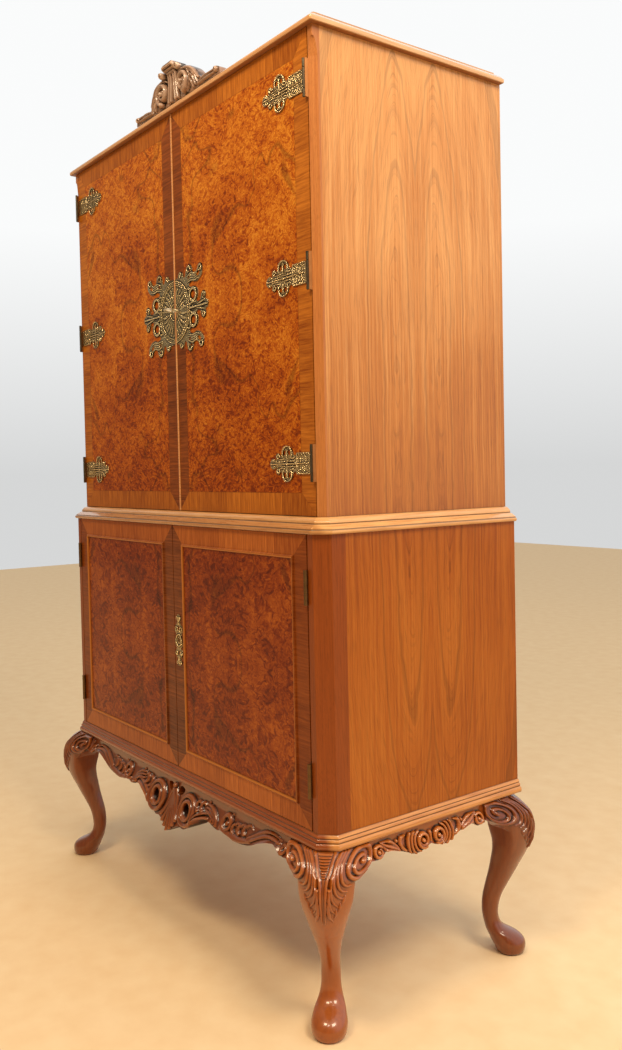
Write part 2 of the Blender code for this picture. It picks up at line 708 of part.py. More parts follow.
def make_stand(wood):
    for name, side, y, inward in (
            ("leg_front_left", -1, LEG_FRONT_Y, 1), ("leg_front_right", 1, LEG_FRONT_Y, 1),
            ("leg_back_left", -1, LEG_BACK_Y, -1), ("leg_back_right", 1, LEG_BACK_Y, -1)):
        make_leg(name, (side * LOWER_HALF, y), (-side, inward), wood)
    make_front_apron(wood)
    make_side_apron("apron_left", -1, wood)
    make_side_apron("apron_right", 1, wood)
    box("rail_back", (-APRON_HALF, APRON_HALF), (LEG_BACK_Y - RAIL_THICKNESS, LEG_BACK_Y),
        (STAND_HEIGHT - RAIL_HEIGHT, STAND_HEIGHT - FIT), wood)


# Moulded boards: each row is how far the edge stands out from the carcass, and its share of the height
BASE_PROFILE = ((0.0077, 0.0), (0.0087, 0.08), (0.0087, 0.42), (0.0060, 0.50), (0.0046, 0.62),
                (0.0044, 0.72), (0.0036, 0.76), (0.0030, 0.85), (0.0014, 0.95), (0.0008, 1.0))
WAIST_PROFILE = ((0.0045, 0.0), (0.0060, 0.08), (0.0060, 0.22), (0.0017, 0.37), (-0.0026, 0.47),
                 (-0.0065, 0.57), (-0.0076, 0.60), (-0.0084, 0.70), (-0.0122, 0.87), (-0.0150, 0.98),
                 (-0.0180, 1.0))
DRAWN_INSET = 0.0196      # the waist profile above is drawn for this inset
CORNICE_PROFILE = ((0.0085, 0.0), (0.0100, 0.06), (0.0100, 0.27), (0.0060, 0.34), (0.0030, 0.46),
                   (0.0000, 0.60), (-0.0050, 0.70), (-0.0130, 0.78), (-0.0130, 1.0))


def edge_outline(half, front, cant, level):
    """Plan of a board with canted front corners, flush at the back."""
    return [(half, BACK, level), (half, front + cant, level), (half - cant, front, level),
            (-half + cant, front, level), (-half, front + cant, level), (-half, BACK, level)]


def make_base_board(wood):
    rings = []
    for out, share in BASE_PROFILE:
        cant = LOWER_CANT + out * (2 - math.sqrt(2))
        level = STAND_HEIGHT + share * BASE_BOARD_THICKNESS
        rings.append(edge_outline(LOWER_HALF + out, LOWER_FRONT - out, cant, level))
    ring_solid("base_board", rings, wood)


def make_waist_board(wood):
    rings = []
    for out, share in WAIST_PROFILE:
        part = max(0.0, -out / DRAWN_INSET)
        half = LOWER_HALF + (out if out > 0 else -part * UPPER_INSET)
        front = LOWER_FRONT - (out if out > 0 else -part * UPPER_SETBACK)
        cant = LOWER_CANT + (UPPER_CHAMFER - LOWER_CANT) * part + max(out, 0) * (2 - math.sqrt(2))
        rings.append(edge_outline(half, front, cant, WAIST_BOTTOM + share * WAIST_BOARD_THICKNESS))
    return ring_solid("waist_board", rings, wood)


def make_cornice(wood):
    rings = []
    for out, share in CORNICE_PROFILE:
        half = UPPER_HALF + out
        front = UPPER_FRONT - out
        level = CORNICE_BOTTOM + share * CORNICE_THICKNESS
        rings.append([(half, BACK, level), (half, front, level), (-half, front, level), (-half, BACK, level)])
    return ring_solid("cornice", rings, wood)


# Crest outline from its middle: distance from the middle, height above the cornice
CREST_EDGE = (
    (0.000, 0.0700), (0.010, 0.0690), (0.018, 0.0640), (0.022, 0.0560), (0.030, 0.0560),
    (0.038, 0.0520), (0.041, 0.0450), (0.055, 0.0440), (0.070, 0.0410), (0.082, 0.0340),
    (0.089, 0.0240), (0.096, 0.0160), (0.110, 0.0120), (0.126, 0.0120), (0.140, 0.0145),
    (0.150, 0.0120), (0.156, 0.0060), (0.156, 0.0),
)
CREST_RIM_STEP = 0.007


def crest_strokes():
    half = [stroke(arc((0.058, 0.022), 0.0150, 60, 400, 18, 0.75), [0.0065] * 18, 0.009)]
    curl = arc((0.031, 0.046), 0.0055, 0, 340, 10)
    half.append(stroke(curl, [0.0040] * 10, 0.007))
    for x, lean in ((0.006, 0.004), (0.016, 0.010)):
        rib = [(x + lean, 0.002), (x + lean * 0.6, 0.022), (x, 0.050)]
        half.append(stroke(rib, [0.005, 0.0045, 0.004], 0.006))
    leaf = [(0.084, 0.006), (0.105, 0.0065), (0.128, 0.0065), (0.146, 0.006)]
    half.append(stroke(leaf, [0.006, 0.0045, 0.004, 0.0045], 0.005))
    roll = [(-0.012, 0.0615), (0.012, 0.0615)]
    return both_sides(half) + [stroke(roll, [0.0075, 0.0075], 0.015)]


def make_crest(wood):
    stretch = CREST_HALF_LENGTH / DRAWN_CREST_HALF
    rise = CREST_HEIGHT / DRAWN_CREST_HEIGHT
    edge = smooth_curve(CREST_EDGE[:-1], CREST_RIM_STEP) + [CREST_EDGE[-1]]
    upper = [(a * stretch, b * rise) for a, b in mirrored(edge)]
    lower = [(CREST_HALF_LENGTH * (1 - i / 6), 0.0) for i in range(1, 12)]
    loops = [upper + lower]
    strokes = crest_strokes()
    ridges = [[(a * stretch, b * rise) for a, b in path[::2]] for path, _, _ in strokes]

    def front(points):
        drawn = np.column_stack((points[:, 0] / stretch, points[:, 1] / rise))
        return 0.003 + stroke_height(strokes, drawn)
    face = UPPER_FRONT + CREST_SETBACK
    foot = CORNICE_TOP + FIT

    def place(along, level, height):
        return (along, face - height, foot + level)
    relief("crest", loops, 0.0078, front, -CREST_THICKNESS, place, wood, ridges=ridges)


# Carcass pieces
def make_lower_side(name, side, wood):
    plan = [(LOWER_HALF, BACK), (LOWER_HALF, LOWER_FRONT + LOWER_CANT), (LOWER_HALF - LOWER_CANT, LOWER_FRONT),
            (POST_INNER, LOWER_FRONT), (POST_INNER, LOWER_FRONT + POST_DEPTH),
            (LOWER_SIDE_INNER, LOWER_FRONT + POST_DEPTH), (LOWER_SIDE_INNER, BACK)]
    rings = [[(side * x, y, level) for x, y in plan] for level in (BASE_TOP + FIT, WAIST_BOTTOM - FIT)]
    return ring_solid(name, rings, wood)


def make_upper_side(name, side, wood):
    rings = []
    stop = CORNICE_BOTTOM - CHAMFER_STOP
    stages = [(WAIST_TOP + FIT, 1.0), (stop, 1.0)]
    for i in range(1, 7):
        t = i / 6
        stages.append((stop + CHAMFER_RUNOUT * math.sin(t * math.pi / 2), 0.06 + 0.94 * (1 - t) ** 0.7))
    stages.append((CORNICE_BOTTOM - FIT, 0.06))
    for level, share in stages:
        cant = UPPER_CHAMFER * share
        plan = [(UPPER_HALF, BACK), (UPPER_HALF, UPPER_FRONT + cant), (UPPER_HALF - cant, UPPER_FRONT),
                (UPPER_LIP_INNER, UPPER_FRONT), (UPPER_LIP_INNER, REBATE), (UPPER_SIDE_INNER, REBATE),
                (UPPER_SIDE_INNER, BACK)]
        rings.append([(side * x, y, level) for x, y in plan])
    thing = ring_solid(name, rings, wood)
    groove = (WAIST_TOP + GLASS_HEIGHT - FIT, WAIST_TOP + GLASS_HEIGHT + GLASS_THICKNESS + FIT)
    depth = sorted((side * (UPPER_SIDE_INNER - CUT_PAST), side * (UPPER_SIDE_INNER + GROOVE_DEPTH)))
    cut(thing, box_rings(depth, (UPPER_FRONT + GLASS_SETBACK - FIT, BACK_INNER), groove))
    return thing


def make_carcass(wood, inside_wood, glass, mirror):
    for name, side in (("left", -1), ("right", 1)):
        make_lower_side("lower_side_" + name, side, wood)
        make_upper_side("upper_side_" + name, side, wood)
    inner = LOWER_SIDE_INNER - FIT
    box("lower_back", (-inner, inner), (BACK_INNER, BACK), (BASE_TOP + FIT, WAIST_BOTTOM - FIT), inside_wood)
    shelf = BASE_TOP + LOWER_SHELF_HEIGHT
    box("lower_shelf", (-inner, inner), (LOWER_FRONT + SHELF_SETBACK, BACK_INNER - FIT),
        (shelf, shelf + SHELF_THICKNESS), inside_wood)
    inner = UPPER_SIDE_INNER - FIT
    box("upper_back", (-inner, inner), (BACK_INNER, BACK), (WAIST_TOP + FIT, CORNICE_BOTTOM - FIT), inside_wood)
    depth = (REBATE, BACK_INNER - FIT)
    box("upper_floor", (-inner, inner), depth, (WAIST_TOP + FIT, WAIST_TOP + FLOOR_THICKNESS), inside_wood)
    box("upper_top", (-inner, inner), depth, (CORNICE_BOTTOM - TOP_THICKNESS, CORNICE_BOTTOM - FIT),
        inside_wood)
    edge = inner - MIRROR_MARGIN
    box("mirror", (-edge, edge), (BACK_INNER - FIT - MIRROR_THICKNESS, BACK_INNER - FIT),
        (WAIST_TOP + FLOOR_THICKNESS + MIRROR_MARGIN, CORNICE_BOTTOM - TOP_THICKNESS - MIRROR_MARGIN), mirror)
    reach = UPPER_SIDE_INNER + GROOVE_DEPTH - FIT
    shelf = WAIST_TOP + GLASS_HEIGHT
    box("glass_shelf", (-reach, reach),
        (UPPER_FRONT + GLASS_SETBACK, BACK_INNER - 2 * FIT - MIRROR_THICKNESS),
        (shelf, shelf + GLASS_THICKNESS), glass)


# Doors
def flush_bolt_slot(bolt_end, up):
    """Slot in the meeting edge of a left door, open at the edge and at the door's end."""
    center = DOOR_THICKNESS / 2
    far = bolt_end - up * (FLUSH_BOLT_LENGTH + FLUSH_SPARE)
    depth = center - FLUSH_BOLT_THICKNESS / 2 - FIT, center + FLUSH_BOLT_THICKNESS / 2 + FIT
    return (-DOOR_GAP - FLUSH_BOLT_WIDTH - 2 * FIT, CUT_PAST), depth, sorted((far, bolt_end + up * CUT_PAST))


def door_span(side, edge):
    return sorted((side * DOOR_GAP, side * edge))


def make_upper_door(name, side, wood):
    axis = (side * STRAP_AXIS_X, STRAP_AXIS_Y, UPPER_DOOR_BOTTOM)
    thing = box(name, door_span(side, UPPER_DOOR_EDGE), (UPPER_FRONT, UPPER_FRONT + DOOR_THICKNESS),
                (UPPER_DOOR_BOTTOM, UPPER_DOOR_TOP), wood, axis)
    if side > 0:
        cut_for_lock(thing, UPPER_FRONT, LOCK_Z)
    else:
        cut_for_bolt(thing, UPPER_FRONT, LOCK_Z, True)
        for end, up in ((UPPER_DOOR_TOP, 1), (UPPER_DOOR_BOTTOM, -1)):
            x, y, z = flush_bolt_slot(end, up)
            cut(thing, box_rings(x, (UPPER_FRONT + y[0], UPPER_FRONT + y[1]), z))
    return thing


def make_lower_door(name, side, wood):
    axis = (side * BUTT_AXIS_X, BUTT_AXIS_Y, LOWER_DOOR_BOTTOM)
    low, high = door_span(side, LOWER_DOOR_EDGE)
    bead = FRAME_BEAD_WIDTH
    height = FRAME_BEAD_HEIGHT
    steps = [(0.0, -DOOR_THICKNESS), (0.0, 0.0), (FRAME_MARGIN, 0.0)]
    steps += [(FRAME_MARGIN + a * bead, b * height) for a, b in FRAME_BEAD_SHAPE]
    steps.append((FRAME_MARGIN + bead, 0.0))
    rings = []
    for inset, proud in steps:
        y = LOWER_FRONT - proud
        x0, x1 = low + inset, high - inset
        z0, z1 = LOWER_DOOR_BOTTOM + inset, LOWER_DOOR_TOP - inset
        rings.append([(x0, y, z0), (x1, y, z0), (x1, y, z1), (x0, y, z1)])
    thing = ring_solid(name, rings, wood, axis)
    if side > 0:
        cut_for_lock(thing, LOWER_FRONT, LOWER_LOCK_Z)
    else:
        cut_for_bolt(thing, LOWER_FRONT, LOWER_LOCK_Z, False)
        x, y, z = flush_bolt_slot(LOWER_DOOR_TOP, 1)
        cut(thing, box_rings(x, (LOWER_FRONT + y[0], LOWER_FRONT + y[1]), z))
    return thing


def keyhole_rings(level, y, slack=0.0):
    """A keyhole: a round hole with a slot below it, running along Y between two depths."""
    radius = KEYHOLE_RADIUS + slack
    half = KEYHOLE_SLOT_WIDTH / 2 + slack
    start = math.asin(half / radius)
    loop = []
    for i in range(15):
        turn = -math.pi / 2 + start + (2 * math.pi - 2 * start) * i / 14
        loop.append((LOCK_OFFSET + radius * math.cos(turn), level + radius * math.sin(turn)))
    drop = level - KEYHOLE_SLOT_DROP - slack
    loop += [(LOCK_OFFSET - half, drop), (LOCK_OFFSET + half, drop)]
    return [[(a, depth, b) for a, b in loop] for depth in y]


def lock_case_box(front, level, grow):
    back = front + DOOR_THICKNESS
    return ((DOOR_GAP + LOCK_CASE_RECESS if not grow else -CUT_PAST, DOOR_GAP + LOCK_CASE_WIDTH + grow),
            (back - LOCK_CASE_THICKNESS - grow, back if not grow else back + CUT_PAST),
            (level - LOCK_CASE_HEIGHT / 2 - grow, level + LOCK_CASE_HEIGHT / 2 + grow))


def bolt_y(front):
    middle = front + DOOR_THICKNESS - LOCK_CASE_THICKNESS / 2
    return middle - BOLT_THICKNESS / 2, middle + BOLT_THICKNESS / 2


def cut_for_lock(door, front, level):
    """Keyhole through the face, and a seat for the lock case open at the back and the meeting edge."""
    cut(door, keyhole_rings(level, (front - CUT_PAST, front + DOOR_THICKNESS)))
    cut(door, box_rings(*lock_case_box(front, level, FIT)))


def cut_for_bolt(door, front, level, keep):
    """Mortise for the thrown bolt in the left door's edge, with a seat for the keep."""
    y0, y1 = bolt_y(front)
    z = level + BOLT_RISE
    reach = DOOR_GAP + BOLT_THROW + BOLT_SPARE
    half = BOLT_HEIGHT / 2 + HOLE_CLEARANCE
    cut(door, box_rings((-reach, CUT_PAST), (y0 - HOLE_CLEARANCE, y1 + HOLE_CLEARANCE), (z - half, z + half)))
    if keep:
        x, y, z = keep_box(front, level)
        cut(door, box_rings((x[0] - FIT, CUT_PAST), (y[0] - FIT, y[1] + FIT), (z[0] - FIT, z[1] + FIT)))


def keep_box(front, level):
    middle = sum(bolt_y(front)) / 2
    z = level + BOLT_RISE
    return ((-DOOR_GAP - KEEP_THICKNESS, -DOOR_GAP), (middle - KEEP_WIDTH / 2, middle + KEEP_WIDTH / 2),
            (z - KEEP_HEIGHT / 2, z + KEEP_HEIGHT / 2))


def make_lock(prefix, front, level, brass, steel):
    case = box(prefix + "lock_case", *lock_case_box(front, level, 0.0), brass)
    y0, y1 = bolt_y(front)
    z = level + BOLT_RISE
    half = BOLT_HEIGHT / 2
    start = DOOR_GAP + BOLT_RECESS
    cut(case, box_rings((-CUT_PAST, start + BOLT_LENGTH + HOLE_CLEARANCE), (y0 - FIT, y1 + FIT),
                        (z - half - FIT, z + half + FIT)))
    cut(case, cylinder_rings((LOCK_OFFSET, level), KEY_BIT_LENGTH + KEY_SHAFT_RADIUS + KEY_TURN_CLEARANCE,
                             (front, front + DOOR_THICKNESS - LOCK_CASE_BACK), "Y", 20))
    box(prefix + "lock_bolt", (start, start + BOLT_LENGTH), (y0, y1), (z - half, z + half), steel,
        (start, (y0 + y1) / 2, z))


def make_keep(brass):
    x, y, z = keep_box(UPPER_FRONT, LOCK_Z)
    keep = box("lock_keep", x, y, z, brass)
    y0, y1 = bolt_y(UPPER_FRONT)
    level = LOCK_Z + BOLT_RISE
    half = BOLT_HEIGHT / 2 + HOLE_CLEARANCE
    cut(keep, box_rings((-CUT_PAST, CUT_PAST), (y0 - HOLE_CLEARANCE, y1 + HOLE_CLEARANCE),
                        (level - half, level + half)))


def make_key(steel):
    """Key with a level bow, its shaft through the plate and the door into the lock."""
    end = UPPER_FRONT + DOOR_THICKNESS - KEY_END_MARGIN
    start = UPPER_FRONT - LOCK_PLATE_THICKNESS - KEY_PROUD
    bm = bmesh.new()
    add_rings(bm, cylinder_rings((LOCK_OFFSET, LOCK_Z), KEY_SHAFT_RADIUS, (start, end), "Y", 16))
    key = finish_mesh("key", bm, steel, (LOCK_OFFSET, UPPER_FRONT, LOCK_Z))
    half = KEY_BIT_THICKNESS / 2
    join(key, box_rings((LOCK_OFFSET, LOCK_OFFSET + KEY_SHAFT_RADIUS + KEY_BIT_LENGTH - KEY_TURN_CLEARANCE),
                        (end - KEY_BIT_WIDTH, end - KEY_BIT_MARGIN), (LOCK_Z - half, LOCK_Z + half)))
    center = (LOCK_OFFSET, start - KEY_BOW_LENGTH / 2 + KEY_BOW_OVERLAP)
    outer = ellipse(center, (KEY_BOW_WIDTH / 2, KEY_BOW_LENGTH / 2), 18)
    hole = ellipse(center, (KEY_BOW_HOLE * KEY_BOW_WIDTH / 2, KEY_BOW_HOLE * KEY_BOW_LENGTH / 2), 18)
    levels = (LOCK_Z - KEY_BOW_THICKNESS / 2, LOCK_Z + KEY_BOW_THICKNESS / 2)
    join(key, [[(x, y, z) for x, y in outer] for z in levels])
    cut(key, [[(x, y, z) for x, y in hole] for z in (LOCK_Z - CUT_PAST, LOCK_Z + CUT_PAST)])


# Right half of the lock plate, upper side: distance from the meeting line, height above the middle
LOCK_PLATE_EDGE = (
    (0.006, 0.0620), (0.015, 0.0610), (0.019, 0.0680), (0.030, 0.0680), (0.037, 0.0590),
    (0.043, 0.0630), (0.049, 0.0745), (0.057, 0.0780), (0.064, 0.0730), (0.068, 0.0650),
    (0.080, 0.0620), (0.086, 0.0640), (0.094, 0.0735), (0.102, 0.0700), (0.104, 0.0590),
    (0.096, 0.0490), (0.083, 0.0440), (0.066, 0.0465), (0.0545, 0.0420), (0.060, 0.0370),
    (0.073, 0.0370), (0.084, 0.0300), (0.0860, 0.0190), (0.080, 0.0100), (0.090, 0.0070),
    (0.097, 0.0110), (0.099, 0.0210), (0.107, 0.0240), (0.113, 0.0180), (0.111, 0.0090),
    (0.1205, 0.0060), (0.1215, 0.0),
)


def flat_heights(value):
    def heights(points):
        return np.full(len(points), value)
    return heights


def make_lock_plate(name, side, brass):
    """Half of the pierced plate; it stops at the meeting bead."""
    inner = DOOR_GAP + MEETING_BEAD_WIDTH + 2 * FIT if side > 0 else DOOR_GAP + FIT
    wide = LOCK_PLATE_REACH / LOCK_PLATE_EDGE[-1][0]
    tall = LOCK_PLATE_HALF_HEIGHT / 0.078
    upper = [(a * wide, b * tall) for a, b in LOCK_PLATE_EDGE]
    upper[0] = (inner, upper[0][1])
    loop = upper + [(a, -b) for a, b in reversed(upper[:-1])]
    loops = [loop]
    for flip in (-1, 1):
        loops.append([(a * wide, flip * b * tall) for a, b in ellipse((0.0680, 0.0225), (0.0075, 0.0070), 9)])
        loops.append([(a * wide, flip * b * tall) for a, b in ellipse((0.0870, 0.0570), (0.0060, 0.0040), 7)])
    if side > 0:
        loops.append([(a, b - LOCK_Z) for a, _, b in keyhole_rings(LOCK_Z, (0.0,), HOLE_CLEARANCE)[0]])
    face = UPPER_FRONT - FIT

    def place(along, level, height):
        return (side * along, face - height, LOCK_Z + level)
    relief(name, loops, 0.0, flat_heights(LOCK_PLATE_THICKNESS), 0.0, place, brass)


def make_escutcheon(brass):
    """Pierced plate round the keyhole of the right lower door."""
    wide = ESCUTCHEON_WIDTH / 0.028
    tall = ESCUTCHEON_HEIGHT / 0.095
    half = [(0.0, 0.0475), (0.004, 0.0460), (0.0090, 0.0400), (0.0045, 0.0330), (0.0080, 0.0280),
            (0.0135, 0.0220), (0.0130, 0.0150), (0.0085, 0.0110), (0.0120, 0.0040), (0.0140, -0.0040),
            (0.0115, -0.0110), (0.0070, -0.0150), (0.0125, -0.0200), (0.0130, -0.0270), (0.0080, -0.0310),
            (0.0050, -0.0350), (0.0105, -0.0410), (0.0060, -0.0455), (0.0, -0.0475)]
    loop = [(a * wide, b * tall) for a, b in half]
    loop += [(-a, b) for a, b in reversed(loop[1:-1])]
    loops = [loop, ellipse((0.0, 0.0215 * tall), (0.0034 * wide, 0.0042 * tall), 8),
             ellipse((0.0, -0.0235 * tall), (0.0034 * wide, 0.0042 * tall), 8)]
    loops.append([(a - LOCK_OFFSET, b - LOWER_LOCK_Z)
                  for a, _, b in keyhole_rings(LOWER_LOCK_Z, (0.0,), HOLE_CLEARANCE)[0]])
    face = LOWER_FRONT - FIT

    def place(along, level, height):
        return (LOCK_OFFSET + along, face - height, LOWER_LOCK_Z + level)
    relief("escutcheon_lower", loops, 0.0, flat_heights(ESCUTCHEON_THICKNESS), 0.0, place, brass)


# Upper half of a strap: distance from the barrel's axis towards the middle, height
STRAP_EDGE = (
    (0.0, 0.0155), (0.0095, 0.0155), (0.0120, 0.0175), (0.0440, 0.0175), (0.0450, 0.0140), (0.0490, 0.0125),
    (0.0530, 0.0145), (0.0560, 0.0210), (0.0610, 0.0260), (0.0690, 0.0285), (0.0770, 0.0265),
    (0.0830, 0.0205), (0.0835, 0.0145), (0.0870, 0.0120), (0.0925, 0.0160), (0.0990, 0.0155),
    (0.1000, 0.0090), (0.0985, 0.0060), (0.1040, 0.0080), (0.1120, 0.0065), (0.1165, 0.0),
)


def knuckle(thing, axis, radius, ends):
    join(thing, cylinder_rings(axis, radius, ends, "Z", 18))


def make_strap_hinge(prefix, side, level, brass):
    axis = (side * STRAP_AXIS_X, STRAP_AXIS_Y)
    half = STRAP_KNUCKLE_LENGTH / 2
    end = STRAP_BARREL_LENGTH / 2
    drawn = STRAP_LENGTH / STRAP_EDGE[-1][0]
    tall = STRAP_HALF_HEIGHT / 0.0285
    upper = [(a * drawn, min(b * tall, half) if a < 0.0100 else b * tall) for a, b in STRAP_EDGE]
    loops = [upper + [(a, -b) for a, b in reversed(upper[:-1])]]
    for flip in (-1, 1):
        loops.append([(a * drawn, flip * b * tall) for a, b in ellipse((0.0700, 0.0185), (0.0072, 0.0048), 9)])
    face = UPPER_FRONT - FIT

    def place(along, z, height):
        return (axis[0] - side * along, face - height, level + z)
    origin = (axis[0], axis[1], level)
    strap = relief(prefix + "_strap", loops, 0.0, flat_heights(STRAP_PLATE_THICKNESS), 0.0, place, brass,
                   origin)
    knuckle(strap, axis, STRAP_BARREL_RADIUS, (level - half, level + half))
    cut(strap, cylinder_rings(axis, STRAP_PIN_RADIUS + HOLE_CLEARANCE, (level - end, level + end), "Z", 18))
    leaf_x = sorted((side * (UPPER_LIP_INNER - FIT), side * (UPPER_LIP_INNER - FIT - STRAP_LEAF_THICKNESS)))
    leaf_y = (axis[1], UPPER_FRONT + DOOR_THICKNESS)
    leaf = box(prefix + "_leaf", leaf_x, leaf_y, (level - end, level + end), brass)
    reach = STRAP_BARREL_RADIUS + HOLE_CLEARANCE
    knuckle(leaf, axis, STRAP_BARREL_RADIUS, (level - end, level + end))
    clear = half + HOLE_CLEARANCE
    cut(leaf, cylinder_rings(axis, reach, (level - clear, level + clear), "Z", 18))
    pin = clear + PIN_EMBED
    join(leaf, cylinder_rings(axis, STRAP_PIN_RADIUS, (level - pin, level + pin), "Z", 12))


def make_butt_hinge(prefix, side, level, brass):
    axis = (side * BUTT_AXIS_X, BUTT_AXIS_Y)
    half = BUTT_BARREL_LENGTH / 2
    third = BUTT_BARREL_LENGTH / 6
    back = LOWER_FRONT + DOOR_THICKNESS - 0.001
    post_side = sorted((side * (POST_INNER - FIT), side * (POST_INNER - FIT - BUTT_LEAF_THICKNESS)))
    door_side = sorted((side * (LOWER_DOOR_EDGE + FIT), side * (LOWER_DOOR_EDGE + FIT + BUTT_LEAF_THICKNESS)))
    clear = HOLE_CLEARANCE
    reach = BUTT_BARREL_RADIUS + clear
    frame = box(prefix + "_frame_leaf", post_side, (axis[1], back), (level - half, level + half), brass)
    knuckle(frame, axis, BUTT_BARREL_RADIUS, (level - half, level + half))
    cut(frame, cylinder_rings(axis, reach, (level - third - clear, level + third + clear), "Z", 18))
    pin = third + PIN_EMBED
    join(frame, cylinder_rings(axis, BUTT_PIN_RADIUS, (level - pin, level + pin), "Z", 12))
    origin = (axis[0], axis[1], level)
    door = box(prefix + "_door_leaf", door_side, (axis[1] + reach, back), (level - half, level + half), brass,
               origin)
    join(door, box_rings(door_side, (axis[1], back), (level - third, level + third)))
    knuckle(door, axis, BUTT_BARREL_RADIUS, (level - third, level + third))
    cut(door, cylinder_rings(axis, BUTT_PIN_RADIUS + clear, (level - half, level + half), "Z", 18))


def make_flush_bolt(name, front, bolt_end, up, steel):
    center = front + DOOR_THICKNESS / 2
    x = (-DOOR_GAP - FIT - FLUSH_BOLT_WIDTH, -DOOR_GAP - FIT)
    y = (center - FLUSH_BOLT_THICKNESS / 2, center + FLUSH_BOLT_THICKNESS / 2)
    near = bolt_end - up * FIT
    box(name, x, y, sorted((near, near - up * FLUSH_BOLT_LENGTH)), steel, ((x[0] + x[1]) / 2, center, near))


def bolt_hole(front, level, reach):
    """Hole in a board for a thrown flush bolt."""
    center = front + DOOR_THICKNESS / 2
    x = (-DOOR_GAP - FIT - FLUSH_BOLT_WIDTH - HOLE_CLEARANCE, -DOOR_GAP - FIT + HOLE_CLEARANCE)
    half = FLUSH_BOLT_THICKNESS / 2 + HOLE_CLEARANCE
    ends = sorted((level - CUT_PAST * reach, level + (FLUSH_BOLT_THROW + FLUSH_SPARE) * reach))
    return box_rings(x, (center - half, center + half), ends)


def make_doors(wood, brass, dark_brass, steel):
    for name, side in (("left", -1), ("right", 1)):
        make_upper_door("upper_door_" + name, side, wood)
        make_lower_door("lower_door_" + name, side, wood)
        make_lock_plate("lock_plate_" + name, side, brass)
        for place, level in zip(("low", "middle", "high"), STRAP_LEVELS):
            make_strap_hinge("upper_hinge_" + name + "_" + place, side, level, brass)
        for place, level in zip(("low", "high"), BUTT_LEVELS):
            make_butt_hinge("lower_hinge_" + name + "_" + place, side, level, dark_brass)
    bead = []
    for i in range(9):
        turn = math.pi * i / 8
        bead.append((DOOR_GAP + MEETING_BEAD_WIDTH / 2 * (1 + math.cos(turn)),
                     UPPER_FRONT - FIT - MEETING_BEAD_HEIGHT * math.sin(turn)))
    levels = (UPPER_DOOR_BOTTOM, UPPER_DOOR_TOP)
    ring_solid("meeting_bead", [[(x, y, z) for x, y in bead] for z in levels], wood)
    make_lock("", UPPER_FRONT, LOCK_Z, brass, steel)
    make_lock("lower_", LOWER_FRONT, LOWER_LOCK_Z, brass, steel)
    make_keep(brass)
    make_key(steel)
    make_escutcheon(brass)
    make_flush_bolt("upper_bolt_top", UPPER_FRONT, UPPER_DOOR_TOP, 1, brass)
    make_flush_bolt("upper_bolt_bottom", UPPER_FRONT, UPPER_DOOR_BOTTOM, -1, brass)
    make_flush_bolt("lower_bolt_top", LOWER_FRONT, LOWER_DOOR_TOP, 1, brass)


def main():
    clear_scene()
    carved = make_material("carved walnut", (0.105, 0.031, 0.012), 0.30)
    figured = make_material("walnut veneer", (0.300, 0.095, 0.026), 0.25)
    inner = make_material("inner walnut", (0.230, 0.090, 0.034), 0.45)
    moulded = make_material("moulded walnut", (0.210, 0.075, 0.027), 0.28)
    brass = make_material("antique brass", (0.300, 0.215, 0.105), 0.35, 1.0)
    dark_brass = make_material("dark brass", (0.130, 0.105, 0.075), 0.40, 1.0)
    steel = make_material("polished steel", (0.620, 0.580, 0.500), 0.22, 1.0)
    glass = make_material("clear glass", (0.900, 0.950, 0.930), 0.04, 0.0, 0.35)
    mirror = make_material("mirror", (0.880, 0.890, 0.890), 0.03, 1.0)
    make_stand(carved)
    make_base_board(moulded)
    waist = make_waist_board(moulded)
    cut(waist, bolt_hole(UPPER_FRONT, WAIST_TOP, -1))
    cut(waist, bolt_hole(LOWER_FRONT, WAIST_BOTTOM, 1))
    make_carcass(figured, inner, glass, mirror)
    make_doors(figured, brass, dark_brass, steel)
    cornice = make_cornice(moulded)
    cut(cornice, bolt_hole(UPPER_FRONT, CORNICE_BOTTOM, 1))
    make_crest(carved)


main()
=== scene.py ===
import math
from functools import partial

import bmesh
import bpy
import numpy as np
from mathutils import Matrix, Vector
from mathutils.geometry import delaunay_2d_cdt


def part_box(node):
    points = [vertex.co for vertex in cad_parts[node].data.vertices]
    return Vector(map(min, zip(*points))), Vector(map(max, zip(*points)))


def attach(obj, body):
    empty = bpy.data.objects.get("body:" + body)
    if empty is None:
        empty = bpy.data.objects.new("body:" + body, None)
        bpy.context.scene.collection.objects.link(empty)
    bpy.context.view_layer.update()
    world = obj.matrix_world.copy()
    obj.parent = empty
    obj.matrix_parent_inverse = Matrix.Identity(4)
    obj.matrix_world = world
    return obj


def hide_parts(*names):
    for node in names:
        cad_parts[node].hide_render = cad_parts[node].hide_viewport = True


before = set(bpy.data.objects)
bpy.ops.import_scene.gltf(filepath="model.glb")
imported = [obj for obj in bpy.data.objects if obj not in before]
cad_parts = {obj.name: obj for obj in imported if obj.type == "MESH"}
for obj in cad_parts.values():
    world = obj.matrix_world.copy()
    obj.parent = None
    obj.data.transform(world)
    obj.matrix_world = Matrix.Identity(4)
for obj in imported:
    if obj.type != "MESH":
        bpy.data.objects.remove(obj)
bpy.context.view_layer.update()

# Camera
# The photograph is taken from the front right at chest height, a little over
# two metres away, with the cabinet turned about 53 degrees.
CAMERA_PLACE = (1.55878, -1.04744, 0.85272)
CAMERA_TURN = 0.928025
CAMERA_PITCH = -0.034321
CAMERA_ROLL = -0.020865
LENS = 32.475
SHIFT = -0.0221

